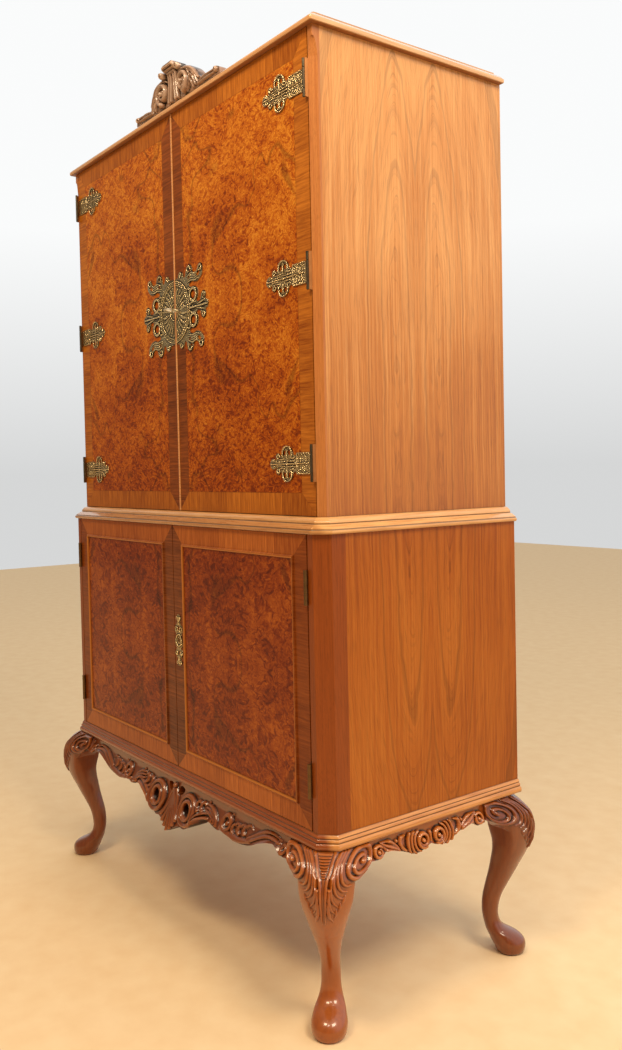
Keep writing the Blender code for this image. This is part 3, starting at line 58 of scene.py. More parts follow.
forward = Vector((-math.sin(CAMERA_TURN) * math.cos(CAMERA_PITCH),
                  math.cos(CAMERA_TURN) * math.cos(CAMERA_PITCH), math.sin(CAMERA_PITCH)))
level_right = forward.cross(Vector((0, 0, 1))).normalized()
level_up = level_right.cross(forward)
right = level_right * math.cos(CAMERA_ROLL) + level_up * math.sin(CAMERA_ROLL)
up = level_up * math.cos(CAMERA_ROLL) - level_right * math.sin(CAMERA_ROLL)
camera = bpy.data.objects.new("camera", bpy.data.cameras.new("camera"))
bpy.context.collection.objects.link(camera)
camera.matrix_world = Matrix((
    (right.x, up.x, -forward.x, CAMERA_PLACE[0]),
    (right.y, up.y, -forward.y, CAMERA_PLACE[1]),
    (right.z, up.z, -forward.z, CAMERA_PLACE[2]),
    (0, 0, 0, 1)))
camera.data.lens = LENS
camera.data.shift_y = SHIFT
bpy.context.scene.camera = camera
bpy.context.scene.view_settings.view_transform = "Standard"

# Floor and light
# A pale floor, a soft window light from high on the right, weaker ones high in
# front and between them, and a pale world that is dimmer in front than behind.
FLOOR_HEX = "#f9dfb6"
FLOOR_SPAN = 14.0
WORLD_BRIGHT = 1.0        # behind the cabinet
WORLD_DIM = 0.3           # in front of it
WINDOW_POWER = 48
FRONT_POWER = 23
COLOR = {"data_type": "RGBA"}
TINT = {"data_type": "RGBA", "blend_type": "MULTIPLY"}


def linear(hex_color):
    """sRGB hex to linear RGBA."""
    channels = [int(hex_color[i:i + 2], 16) / 255 for i in (1, 3, 5)]
    return tuple(c / 12.92 if c <= 0.04045 else ((c + 0.055) / 1.055) ** 2.4 for c in channels) + (1.0,)


def set_inputs(node, *values):
    """Set or link inputs, in order or from a dict; a node given stands for its first output."""
    shown = [socket for socket in node.inputs if not socket.is_unavailable]
    named = values[0] if isinstance(values[0], dict) else dict(enumerate(values))
    for key, value in named.items():
        socket = shown[key] if isinstance(key, int) else node.inputs[key]
        if isinstance(value, str):
            value = linear(value)
        if isinstance(value, bpy.types.Node):
            value = next(output for output in value.outputs if not output.is_unavailable)
        if isinstance(value, bpy.types.NodeSocket):
            node.id_data.links.new(value, socket)
        else:
            socket.default_value = value


def add(tree, kind, *values, stops=(), **settings):
    """Add a node, such as "Mix" or "Math ADD", with its inputs, its ramp's stops and its settings."""
    kind, _, operation = kind.partition(" ")
    node = tree.nodes.new("ShaderNode" + kind)
    if operation:
        node.operation = operation
    for name, value in settings.items():
        setattr(node, name, value)
    for i, (place, color) in enumerate(stops):
        element = node.color_ramp.elements[i] if i < 2 else node.color_ramp.elements.new(place)
        element.position, element.color = place, linear(color)
    if values:
        set_inputs(node, *values)
    return node


def new_material(name):
    """A material with only a Principled shader: itself, what adds a node to it, and its shader."""
    material = bpy.data.materials.new(name)
    material.use_nodes = True
    return material, partial(add, material.node_tree), material.node_tree.nodes["Principled BSDF"]


def hollows(mesh, heights, reach):
    """How each point stands against the points around it: 0.6 on a flat, less in a hollow."""
    ends = np.empty(2 * len(mesh.edges), dtype=np.int32)
    mesh.edges.foreach_get("vertices", ends)
    count = np.bincount(ends, minlength=len(heights))
    around = heights.copy()
    for _ in range(8):
        total = (np.bincount(ends[0::2], around[ends[1::2]], len(heights))
                 + np.bincount(ends[1::2], around[ends[0::2]], len(heights)))
        around = 0.5 * around + 0.5 * total / np.maximum(count, 1)
    return 0.6 + (heights - around) / reach


def ring_faces(rows, size, closed=False):
    """Faces between rings of points; closed when the last ring meets the first."""
    return [(r * size + k, r * size + (k + 1) % size, (r + 1) % rows * size + (k + 1) % size,
             (r + 1) % rows * size + k) for r in range(rows if closed else rows - 1) for k in range(size)]


def make_mesh(name, verts, faces, material, sharp=40, relief=None, reach=0.0022):
    """A smooth-shaded mesh object from plain lists, its faces outwards."""
    mesh = bpy.data.meshes.new(name)
    mesh.from_pydata([tuple(v) for v in verts], [], faces)
    if relief is not None:
        layer = mesh.attributes.new("relief", "FLOAT", "POINT")
        layer.data.foreach_set("value", hollows(mesh, np.asarray(relief, dtype=float), reach))
    bm = bmesh.new()
    bm.from_mesh(mesh)
    bmesh.ops.recalc_face_normals(bm, faces=bm.faces)
    bm.to_mesh(mesh)
    bm.free()
    mesh.polygons.foreach_set("use_smooth", [True] * len(mesh.polygons))
    mesh.set_sharp_from_angle(angle=math.radians(sharp))
    mesh.materials.append(material)
    thing = bpy.data.objects.new(name, mesh)
    bpy.context.collection.objects.link(thing)
    return thing


def area_light(name, place, target, size, power, color):
    light = bpy.data.lights.new(name, "AREA")
    light.shape = "RECTANGLE"
    light.size, light.size_y = size
    light.energy = power
    light.color = linear(color)[:3]
    lamp = bpy.data.objects.new(name, light)
    bpy.context.collection.objects.link(lamp)
    lamp.location = place
    lamp.rotation_euler = (Vector(target) - Vector(place)).to_track_quat("-Z", "Y").to_euler()


floor_paint, new, shader = new_material("floor cloth")
weave = new("TexNoise", {"Scale": 300.0, "Detail": 4.0})
set_inputs(shader, {"Base Color": new("Mix", weave, "#ecca9b", FLOOR_HEX, **COLOR), "Roughness": 0.9})
half = FLOOR_SPAN / 2
floor = make_mesh("floor", [(-half, -half, 0), (half, -half, 0), (half, half, 0), (-half, half, 0)],
                  [(0, 1, 2, 3)], floor_paint)
area_light("window", (2.1, -0.1, 2.9), (0.3, 0.0, 1.1), (0.9, 0.9), WINDOW_POWER, "#ffedcf")
area_light("front", (0.55, -1.3, 2.5), (0.1, 0.0, 1.2), (0.6, 0.5), FRONT_POWER, "#ffe6bf")
area_light("lamp", (1.35, -1.2, 2.9), (0.3, 0.0, 0.4), (0.5, 0.5), 9, "#fff2dc")
world = bpy.data.worlds.new("room")
bpy.context.scene.world = world
world.use_nodes = True
new = partial(add, world.node_tree)
toward = new("SeparateXYZ", new("TexCoord").outputs["Generated"]).outputs
behind = new("MapRange", toward["Y"], -0.35, 0.25)
glow = new("MapRange", toward["Y"], -0.35, 0.25, WORLD_DIM, WORLD_BRIGHT)
ceiling = new("MapRange", toward["Z"], 0.0, 0.24, 0.74, 1.06)
set_inputs(world.node_tree.nodes["Background"], {"Color": new("Mix", behind, "#f4dfc0", "#f4f5f5", **COLOR),
                                                 "Strength": new("Math MULTIPLY", glow, ceiling)})

# Legs
# Cabriole legs cut from solid walnut and polished, with acanthus and a volute
# carved on each side of the knee and a round pad foot. They are glued and
# dowelled to the aprons.
MM = 0.001
GLUE_GAP = 0.0003
LEG_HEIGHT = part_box("leg_front_right")[1][2]
DRAWN_LEG_HEIGHT = 0.2802
LEG_SEAM = 0.0812
LEG_ARM_THICKNESS = 0.02
LEG_STEP = 0.0009
END_COUNT = 12            # points across the end of a knee's ear
OUTER_COUNT = 221         # points round the carved side of a leg
INNER_COUNT = 30
SMOOTHINGS = 14
CARVED_REACH = 0.098      # how far round the knee the carving goes
# Height, reach outwards along the diagonal, reach inwards, half width, squareness
LEG_SECTIONS = (
    (0.0, 0.0125, 0.03, 0.0212, 2.0), (0.003, 0.0155, 0.033, 0.0245, 2.0),
    (0.01, 0.0175, 0.0365, 0.027, 2.0), (0.02, 0.017, 0.042, 0.028, 2.0),
    (0.028, 0.011, 0.0455, 0.0262, 2.0), (0.035, -0.0005, 0.049, 0.024, 2.0),
    (0.04, -0.0135, 0.051, 0.0215, 2.0), (0.048, -0.023, 0.0532, 0.0185, 2.0),
    (0.06, -0.028, 0.056, 0.016, 2.0), (0.08, -0.0278, 0.0573, 0.0153, 2.0),
    (0.1, -0.0223, 0.0553, 0.0152, 1.95), (0.12, -0.0118, 0.0505, 0.0172, 1.85),
    (0.14, -0.0003, 0.0453, 0.0208, 1.75), (0.16, 0.0107, 0.0413, 0.0262, 1.65),
    (0.18, 0.022, 0.038, 0.0315, 1.55), (0.195, 0.029, 0.038, 0.036, 1.4),
    (0.21, 0.033, 0.0413, 0.0405, 1.28), (0.22, 0.0342, 0.044, 0.042, 1.22),
    (0.23, 0.0337, 0.046, 0.043, 1.22), (0.24, 0.0313, 0.048, 0.043, 1.22),
    (0.247, 0.0287, 0.049, 0.0425, 1.22), (0.253, 0.0252, 0.05, 0.0415, 1.22),
    (0.26, 0.019, 0.05, 0.04, 1.22), (0.27, 0.008, 0.05, 0.038, 1.25),
    (0.276, -0.003, 0.05, 0.0365, 1.28), (0.2802, -0.0105, 0.05, 0.035, 1.3),
)
# Knee bracket: height, reach from the corner, how proud its face stands
KNEE_BRACKET = (
    (0.226, 0.036, 0.02), (0.233, 0.043, 0.018), (0.24, 0.05, 0.0165), (0.247, 0.064, 0.015),
    (0.253, 0.0812, 0.0125), (0.26, 0.0812, 0.009), (0.27, 0.0812, 0.0055), (0.2802, 0.0812, 0.004),
)


def arc(center, radius, start, end, count=18, shrink=1.0, squash=1.0, drift=0.0):
    """An arc or spiral; angles in degrees, the radius shrinking by the given ratio."""
    turns = np.radians(np.linspace(start, end, count))
    radii = radius * np.linspace(1.0, shrink, count)
    across = center[0] + np.linspace(0.0, drift, count) + radii * np.cos(turns)
    return list(zip(across, center[1] + squash * radii * np.sin(turns)))


def bend(points, step=0.0015):
    """A smooth path through the given points."""
    pts = [np.array(p, dtype=float) for p in points]
    pts = [2 * pts[0] - pts[1]] + pts + [2 * pts[-1] - pts[-2]]
    out = []
    for a, b, c, d in zip(pts, pts[1:], pts[2:], pts[3:]):
        for t in np.linspace(0, 1, max(2, int(np.linalg.norm(c - b) / step)), endpoint=False):
            out.append(0.5 * (2 * b + (c - a) * t + (2 * a - 5 * b + 4 * c - d) * t ** 2
                              + (3 * b - a - 3 * c + d) * t ** 3))
    out.append(pts[-2])
    return [tuple(p) for p in out]


# A stroke is its path, its half widths along it, and its height
def full(path, start, middle, end, height):
    """A stroke that is narrow, full and narrow again."""
    return path, list(np.interp(np.linspace(0, 1, len(path)), (0, 0.5, 1), (start, middle, end))), height


def even(path, width, height):
    return path, [width] * len(path), height


def dash(start, end, width, height):
    return even([start, end], width, height)


def dot(x, z, width, height):
    return dash((x, z), (x + 0.0001, z), width, height)


def carve(strokes, points):
    """Height that rounded strokes add at each point, less where they narrow; a negative one cuts a groove."""
    raised = np.zeros(len(points))
    sunk = np.zeros(len(points))
    for path, widths, height in strokes:
        path = np.array(path)
        reach = max(widths)
        low = path.min(axis=0) - reach
        high = path.max(axis=0) + reach
        near = np.nonzero(((points > low) & (points < high)).all(axis=1))[0]
        if not len(near):
            continue
        spots = points[near]
        best = np.zeros(len(near))
        for a, b, wa, wb in zip(path, path[1:], widths, widths[1:]):
            along = b - a
            t = np.clip((spots - a) @ along / max(along @ along, 1e-12), 0, 1)
            width = wa + (wb - wa) * t
            off = np.linalg.norm(spots - a - t[:, None] * along, axis=1) / width
            best = np.maximum(best, np.sqrt(np.clip(1 - off * off, 0, 1)) * (width / reach) ** 0.8)
        if height > 0:
            raised[near] = np.maximum(raised[near], height * best)
        else:
            sunk[near] = np.minimum(sunk[near], height * best)
    return raised + sunk


def smooth_at(at, knots, values):
    """Smooth interpolation through a table."""
    knots = np.array(knots)
    values = np.array(values)
    slopes = np.gradient(values, knots)
    i = np.clip(np.searchsorted(knots, at) - 1, 0, len(knots) - 2)
    span = knots[i + 1] - knots[i]
    t = (at - knots[i]) / span
    return ((2 * t ** 3 - 3 * t ** 2 + 1) * values[i] + (t ** 3 - 2 * t ** 2 + t) * span * slopes[i]
            + (3 * t ** 2 - 2 * t ** 3) * values[i + 1] + (t ** 3 - t ** 2) * span * slopes[i + 1])


def leg_section(level):
    knots = [row[0] for row in LEG_SECTIONS]
    return [float(smooth_at(level, knots, [row[k] for row in LEG_SECTIONS])) for k in range(1, 5)]


def wall_distance(center, directions, low, high):
    """Distance from an inside point to a box's wall along each direction."""
    reach = np.full(len(directions), 1e9)
    for k in range(2):
        ahead = directions[:, k]
        with np.errstate(divide="ignore"):
            far = np.where(ahead > 0, (high[k] - center[k]) / ahead, (low[k] - center[k]) / ahead)
        reach = np.minimum(reach, np.where(np.abs(ahead) < 1e-9, 1e9, far))
    return reach


def resample(points, count):
    """Points at even distances along a path."""
    steps = np.linalg.norm(np.diff(points, axis=0), axis=1)
    along = np.concatenate(([0], np.cumsum(steps)))
    at = np.linspace(0, along[-1], count)
    return np.column_stack([np.interp(at, along, points[:, k]) for k in range(2)])


def fill_hollows(center, chain):
    """Move the points of a chain outwards along their rays until it has no hollow."""
    kept = []
    for i, point in enumerate(chain):
        while len(kept) > 1:
            a, b = chain[kept[-2]], chain[kept[-1]]
            if (b[0] - a[0]) * (point[1] - a[1]) - (b[1] - a[1]) * (point[0] - a[0]) < 0:
                break
            kept.pop()
        kept.append(i)
    filled = chain.copy()
    for first, last in zip(kept, kept[1:]):
        if last - first < 2:
            continue
        a = chain[first] - center
        u = chain[last] - chain[first]
        v = chain[first + 1:last] - center
        t = (a[0] * u[1] - a[1] * u[0]) / (v[:, 0] * u[1] - v[:, 1] * u[0])
        filled[first + 1:last] = center + t[:, None] * v
    return filled


def leg_outline(level, outer_count, inner_count):
    """One level of a leg at its corner: the outer side, then the inner side."""
    outer, inner, half_width, power = leg_section(level)
    middle = (inner - outer) / 2 / math.sqrt(2)
    center = np.array((middle, middle))
    heights = [row[0] for row in KNEE_BRACKET]
    has_bracket = level >= heights[0]
    reach = np.interp(level, heights, [row[1] for row in KNEE_BRACKET])
    proud = np.interp(level, heights, [row[2] for row in KNEE_BRACKET])
    thick = LEG_ARM_THICKNESS

    def boundary(start, end, count):
        turns = np.linspace(start, end, count)
        ways = np.column_stack((np.cos(turns), np.sin(turns)))
        p = -(ways[:, 0] + ways[:, 1]) / math.sqrt(2)
        q = (ways[:, 0] - ways[:, 1]) / math.sqrt(2)
        radius = (np.abs(p / ((outer + inner) / 2)) ** power + np.abs(q / half_width) ** power) ** (-1 / power)
        if has_bracket:
            radius = np.maximum(radius, wall_distance(center, ways, (-proud, -proud), (reach, thick)))
            radius = np.maximum(radius, wall_distance(center, ways, (-proud, -proud), (thick, reach)))
            # The two brackets meet across the corner on the core's own outer face
            radius = np.where(p > 0, np.minimum(radius, (outer + inner) / 2 / np.maximum(p, 1e-9)), radius)
        return center + radius[:, None] * ways
    start = math.atan2(-proud - middle, reach - middle)
    end = math.atan2(reach - middle, -proud - middle) - 2 * math.pi
    side = math.atan2(reach - middle, thick - middle)
    near = math.atan2(thick - middle, reach - middle)
    front = boundary(start, end, 700)
    if has_bracket:
        front = fill_hollows(center, front)
    back = np.concatenate((resample(boundary(end + 2 * math.pi, side, 80), END_COUNT)[1:],
                           resample(boundary(side, near, 300), inner_count)[1:-1],
                           resample(boundary(near, start, 80), END_COUNT)[:-1]))
    return resample(front, outer_count), back


def knee_strokes():
    """Carving of the right half of a knee: distance from its ridge round the surface, height."""
    volute = arc((0.067, 0.2603), 0.0275, -50, -370, 60, 0.9, 0.69)
    volute += arc((0.0676, 0.2603), 0.0246, -370, -700, 60, 0.26, 0.7, 0.0045)[1:]
    flutes = (
        ((0.0395, 0.2798), (0.031, 0.27), (0.0285, 0.257), (0.0322, 0.244), (0.04, 0.2375), (0.051, 0.2362)),
        ((0.033, 0.2798), (0.0245, 0.268), (0.022, 0.254), (0.025, 0.2405), (0.032, 0.2325), (0.042, 0.2295)),
        ((0.0268, 0.2798), (0.0188, 0.2665), (0.016, 0.252), (0.0178, 0.237), (0.024, 0.2265), (0.034, 0.2205)),
        ((0.016, 0.258), (0.0118, 0.248), (0.0113, 0.235), (0.015, 0.221), (0.0235, 0.211)),
        ((0.0085, 0.236), (0.0082, 0.224), (0.011, 0.211), (0.0175, 0.202)),
        ((0.0068, 0.218), (0.0074, 0.206), (0.01, 0.196), (0.0138, 0.189)),
    )
    tips = (((0.038, 0.224), (0.035, 0.219), (0.031, 0.213)),
            ((0.0285, 0.215), (0.027, 0.209), (0.0235, 0.203)),
            ((0.0205, 0.207), (0.0195, 0.201), (0.0165, 0.195)))
    ridge = ((0.0148, 0.28), (0.0122, 0.27), (0.008, 0.258), (0.0046, 0.248), (0.0034, 0.23),
             (0.0028, 0.21), (0.0018, 0.186))
    return [full(volute, 0.0034, 0.0031, 0.0028, 0.0062), dot(0.0738, 0.2612, 0.005, 0.0085),
            full(bend(ridge), 0.0022, 0.0022, 0.0009, 0.004), dot(0.0082, 0.2382, 0.0026, 0.005),
            ([(0.0098, 0.25), (0.0086, 0.242)], [0.002, 0.0028], -0.006),
            *(full(bend(path), 0.0026, 0.0033, 0.001, 0.0048) for path in flutes),
            *(full(bend(path), 0.0014, 0.0026, 0.0008, 0.003) for path in tips)]


def ladder_strokes():
    """Rungs down the middle of a knee."""
    rungs = [(0.0098 - 0.001 * i, 0.2776 - 0.0029 * i) for i in range(9)]
    return [dash((-reach, z), (reach, z), 0.001, 0.0022) for reach, z in rungs]


def make_leg(name, node, corner, inward, material):
    levels = np.concatenate((np.linspace(0, 0.003, 4), np.linspace(0.004, 0.158, 95),
                             np.arange(0.159, 0.2795, LEG_STEP), [DRAWN_LEG_HEIGHT]))
    fronts, backs = zip(*[leg_outline(level, OUTER_COUNT, INNER_COUNT) for level in levels])
    fronts = np.array(fronts)
    backs = np.array(backs)
    for _ in range(SMOOTHINGS):
        around = (fronts[1:-1, :-2] + fronts[1:-1, 2:] + fronts[:-2, 1:-1] + fronts[2:, 1:-1]) / 4
        fronts[1:-1, 1:-1] = 0.5 * fronts[1:-1, 1:-1] + 0.5 * around
    steps = np.linalg.norm(np.diff(fronts, axis=1), axis=2)
    along = np.concatenate((np.zeros((len(levels), 1)), np.cumsum(steps, axis=1)), axis=1)
    along -= along[:, OUTER_COUNT // 2][:, None]
    across = np.gradient(fronts, axis=1)
    heights = np.repeat(levels[:, None], OUTER_COUNT, axis=1)
    spots = np.column_stack((np.abs(along).ravel(), heights.ravel()))
    both = np.column_stack((along.ravel(), heights.ravel()))
    ground = carve(knee_strokes(), spots)
    rungs = carve(ladder_strokes(), both)
    relief = np.where(ground < 0, ground, np.maximum(ground, rungs)).reshape(along.shape)
    fade = np.clip((DRAWN_LEG_HEIGHT - heights) / 0.002, 0, 1)
    fade = fade * np.clip((CARVED_REACH - np.abs(along)) / 0.003, 0, 1)
    normal = np.stack((across[:, :, 1], -across[:, :, 0]), axis=2)
    normal /= np.maximum(np.linalg.norm(normal, axis=2), 1e-9)[:, :, None]
    sign = -1 if normal[len(levels) // 2, OUTER_COUNT // 2] @ np.array((-1, -1)) < 0 else 1
    fronts = fronts + sign * normal * (relief * fade)[:, :, None]
    rings = np.concatenate((fronts, backs), axis=1)
    rows, count = rings.shape[:2]
    stretch = LEG_HEIGHT / DRAWN_LEG_HEIGHT
    verts = np.column_stack((corner[0] + inward[0] * rings[:, :, 0].ravel(),
                             corner[1] + inward[1] * rings[:, :, 1].ravel(),
                             np.repeat(levels * stretch, count)))
    faces = ring_faces(rows, count) + [tuple(range(count))[::-1], tuple(range((rows - 1) * count, rows * count))]
    values = np.zeros(rings.shape[:2])
    values[:, :OUTER_COUNT] = relief
    leg = make_mesh(name, verts, faces, material, 40, values.ravel())
    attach(leg, "cabinet")
    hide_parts(node)
    return leg


def polish(shader, coat, specular=0.22):
    """French polish: a thin clear film over a surface that is itself nearly matt."""
    set_inputs(shader, {"Specular IOR Level": specular, "Coat Weight": coat, "Coat Roughness": 0.1})


# Carved walnut, stained and French polished: darker in the hollows, from gathered wax and painted shade, and lighter
# on the high parts, from rubbed wear and a painted highlight.
def carved_wood(name, dark, light, patch_color, rubbed_color, sheen):
    material, new, shader = new_material(name)
    place = new("TexCoord").outputs["Object"]
    stretched = new("Mapping", {"Vector": place, "Scale": (60.0, 60.0, 9.0)})
    grain = new("TexNoise", {"Vector": stretched, "Scale": 3.0, "Detail": 5.0, "Distortion": 0.6})
    wood = new("Mix", grain, dark, light, **COLOR)
    toned = new("Mix", new("TexNoise", place, 7.0, 2.0), wood, patch_color, **COLOR)
    # The relief darkens the hollows (gathered wax and painted shade) and lightens the high parts towards the rubbed
    # colour (rubbed wear and a painted highlight).
    depth = new("Attribute", attribute_name="relief").outputs["Fac"]
    worn = new("Mix", 1.0, toned, new("MapRange", depth, 0.0, 0.62, 0.1, 1.0), **TINT)
    rubbed = new("Mix", new("MapRange", depth, 0.75, 1.3, 0.0, 0.5), worn, rubbed_color, **COLOR)
    set_inputs(shader, {"Base Color": rubbed, "Roughness": new("MapRange", grain, 0, 1, 0.28, 0.42),
                        "Normal": new("Bump", {"Height": grain, "Strength": 0.06, "Distance": 0.0005})})
    polish(shader, 0.9, sheen)
    return material


# Two copies of one carved walnut: a lit one for the near front right leg and the side aprons, and one darkened as
# painted shade for the other legs and the front apron.
lit_carved_walnut = carved_wood("polished carved walnut", "#6c2a08", "#bb6418", "#9f4e12", "#d8863a", 0.38)
shaded_carved_walnut = carved_wood("darker polished carved walnut", "#531d06", "#98490f", "#7c390c", "#b4661f", 0.3)
cabinet_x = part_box("lower_side_right")[1][0]
for name, x_side, y_side in (("front_left", -1, 1), ("front_right", 1, 1), ("back_left", -1, -1),
                             ("back_right", 1, -1)):
    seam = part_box("apron_left")[0][1] - GLUE_GAP if y_side > 0 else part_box("apron_left")[1][1] + GLUE_GAP
    corner = (x_side * cabinet_x, seam - y_side * LEG_SEAM)
    # Only the near front right leg takes the lit copy; the others take the copy darkened as painted shade.
    make_leg("carved_leg_" + name, "leg_" + name, corner, (-x_side, y_side),
             lit_carved_walnut if name == "front_right" else shaded_carved_walnut)

# Front and side aprons
# Walnut rails carved in the solid: a pierced shell between C-scrolls in front,
# and scrolls and acanthus fronds all round. They are tongued to the legs.
APRON_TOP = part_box("apron_front")[1][2]
APRON_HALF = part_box("apron_front")[1][0]
SIDE_APRON_Y = (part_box("apron_left")[0][1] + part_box("apron_left")[1][1]) / 2
SIDE_APRON_HALF = (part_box("apron_left")[1][1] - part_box("apron_left")[0][1]) / 2
LOWER_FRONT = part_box("lower_side_right")[0][1]
APRON_THICKNESS = 0.016
SHELL_PROUD = 0.036
SIDE_PROUD = 0.013
BAND_PROUD = 0.003
BAND_LOW = 0.267
SHELL_REACH = 0.085       # how far sideways the shell pulls the ground forwards
RELIEF_STEP = 0.00125
RIM_STEP = 0.0012
APRON_EDGE = (
    (0.0, 0.1895), (0.01, 0.1915), (0.02, 0.199), (0.036, 0.206), (0.052, 0.2045),
    (0.064, 0.2087), (0.076, 0.215), (0.0815, 0.224), (0.092, 0.233), (0.11, 0.239),
    (0.132, 0.2415), (0.15, 0.237), (0.165, 0.235), (0.178, 0.2388), (0.19, 0.2365),
    (0.2014, 0.2339), (0.2225, 0.2316), (0.245, 0.2341), (0.268, 0.2397), (0.294, 0.251),
    (0.3224, 0.2597), (0.3388, 0.259), (0.347, 0.2525), (0.359, 0.25), (0.371, 0.251),
)
SIDE_APRON_EDGE = (
    (0.0, 0.247), (0.012, 0.242), (0.028, 0.2385), (0.04, 0.24), (0.05, 0.2445),
    (0.07, 0.2525), (0.085, 0.258), (0.094, 0.259), (0.1, 0.254), (0.108, 0.249), (0.126, 0.25),
)


def mirrored(half_path):
    return [(-a, b) for a, b in reversed(half_path[1:])] + list(half_path)


def both_sides(strokes):
    return strokes + [([(-a, b) for a, b in path], widths, height) for path, widths, height in strokes]


def ellipse(center, radii, count=40, tilt=0.0):
    turns = np.linspace(0, 2 * math.pi, count, endpoint=False)
    a = radii[0] * np.cos(turns)
    b = radii[1] * np.sin(turns)
    return list(zip(center[0] + a * math.cos(tilt) - b * math.sin(tilt),
                    center[1] + a * math.sin(tilt) + b * math.cos(tilt)))


def inside(loop, points):
    result = np.zeros(len(points), dtype=bool)
    for (ax, ay), (bx, by) in zip(loop, loop[1:] + loop[:1]):
        if ay == by:
            continue
        crosses = (points[:, 1] < ay) != (points[:, 1] < by)
        result ^= crosses & (points[:, 0] < ax + (points[:, 1] - ay) * (bx - ax) / (by - ay))
    return result


def near_loop(loop, points, reach):
    """True for the points closer to a loop than the reach."""
    close = np.zeros(len(points), dtype=bool)
    for a, b in zip(loop, loop[1:] + loop[:1]):
        a = np.array(a)
        b = np.array(b)
        box = (points > np.minimum(a, b) - reach).all(axis=1) & (points < np.maximum(a, b) + reach).all(axis=1)
        spots = np.nonzero(box & ~close)[0]
        if len(spots):
            along = b - a
            t = np.clip((points[spots] - a) @ along / max(along @ along, 1e-12), 0, 1)
            close[spots] |= np.linalg.norm(points[spots] - a - t[:, None] * along, axis=1) < reach
    return close


def triangulate(loops, inner):
    verts = [Vector(p) for loop in loops for p in loop] + [Vector(p) for p in inner]
    edges = []
    start = 0
    for loop in loops:
        edges += [(start + i, start + (i + 1) % len(loop)) for i in range(len(loop))]
        start += len(loop)
    points, _, faces, originals, _, _ = delaunay_2d_cdt(verts, edges, [], 0, 1e-8)
    points = np.array([tuple(p) for p in points])
    faces = np.array([tuple(face) for face in faces])
    middles = points[faces].mean(axis=1)
    keep = inside(loops[0], middles)
    for loop in loops[1:]:
        keep &= ~inside(loop, middles)
    index = [source[0] if source else -1 for source in originals]
    return [[index[i] for i in face] for face in faces[keep]]


def relief_plate(name, loops, step, front, back, place, material, sharp=45, reach=0.0022):
    """A carved or engraved plate: front(points) gives heights and how much of each is carving."""
    low = np.min(loops[0], axis=0)
    high = np.max(loops[0], axis=0)
    rows = np.arange(low[1], high[1], step * 0.87)
    columns = np.arange(low[0], high[0] + step, step)
    grid = np.array([(a + (r % 2) * step / 2, b) for r, b in enumerate(rows) for a in columns])
    keep = inside(loops[0], grid)
    for loop in loops:
        keep &= ~near_loop(loop, grid, step * 0.5)
    for loop in loops[1:]:
        keep &= ~inside(loop, grid)
    inner = [tuple(p) for p in grid[keep]]
    rim = [tuple(p) for loop in loops for p in loop]
    heights, standing = front(np.array(rim + inner))
    verts = [place(a, b, h) for (a, b), h in zip(rim + inner, heights)]
    base = len(verts)
    verts += [place(a, b, back) for a, b in rim]
    faces = triangulate(loops, inner)
    faces += [[base + i for i in reversed(face)] for face in triangulate(loops, [])]
    start = 0
    for loop in loops:
        count = len(loop)
        for i in range(count):
            j = (i + 1) % count
            faces.append((start + i, start + j, base + start + j, base + start + i))
        start += count
    values = np.concatenate((standing, np.zeros(len(rim))))
    return make_mesh(name, verts, faces, material, sharp, values, reach)


def swelling(edge, low_proud, tip_proud):
    """How far an apron's ground stands out: a thin band on top, full at its lower edge."""
    knots = [a for a, _ in edge]
    lows = [b for _, b in edge]

    def heights(points):
        along = np.abs(points[:, 0])
        bottom = np.interp(along, knots, lows)
        drop = np.clip((BAND_LOW - points[:, 1]) / (BAND_LOW - bottom + 1e-9), 0, 1)
        lower = low_proud + (tip_proud - low_proud) * np.exp(-(along / SHELL_REACH) ** 2)
        return BAND_PROUD + (lower * 0.72 - BAND_PROUD) * drop ** 1.2
    return heights


def apron_loop(edge, half, top):
    lower = mirrored(bend(edge, RIM_STEP))
    upper = [(a, top) for a in np.linspace(half, -half, int(2 * half / 0.003))]
    return lower + upper


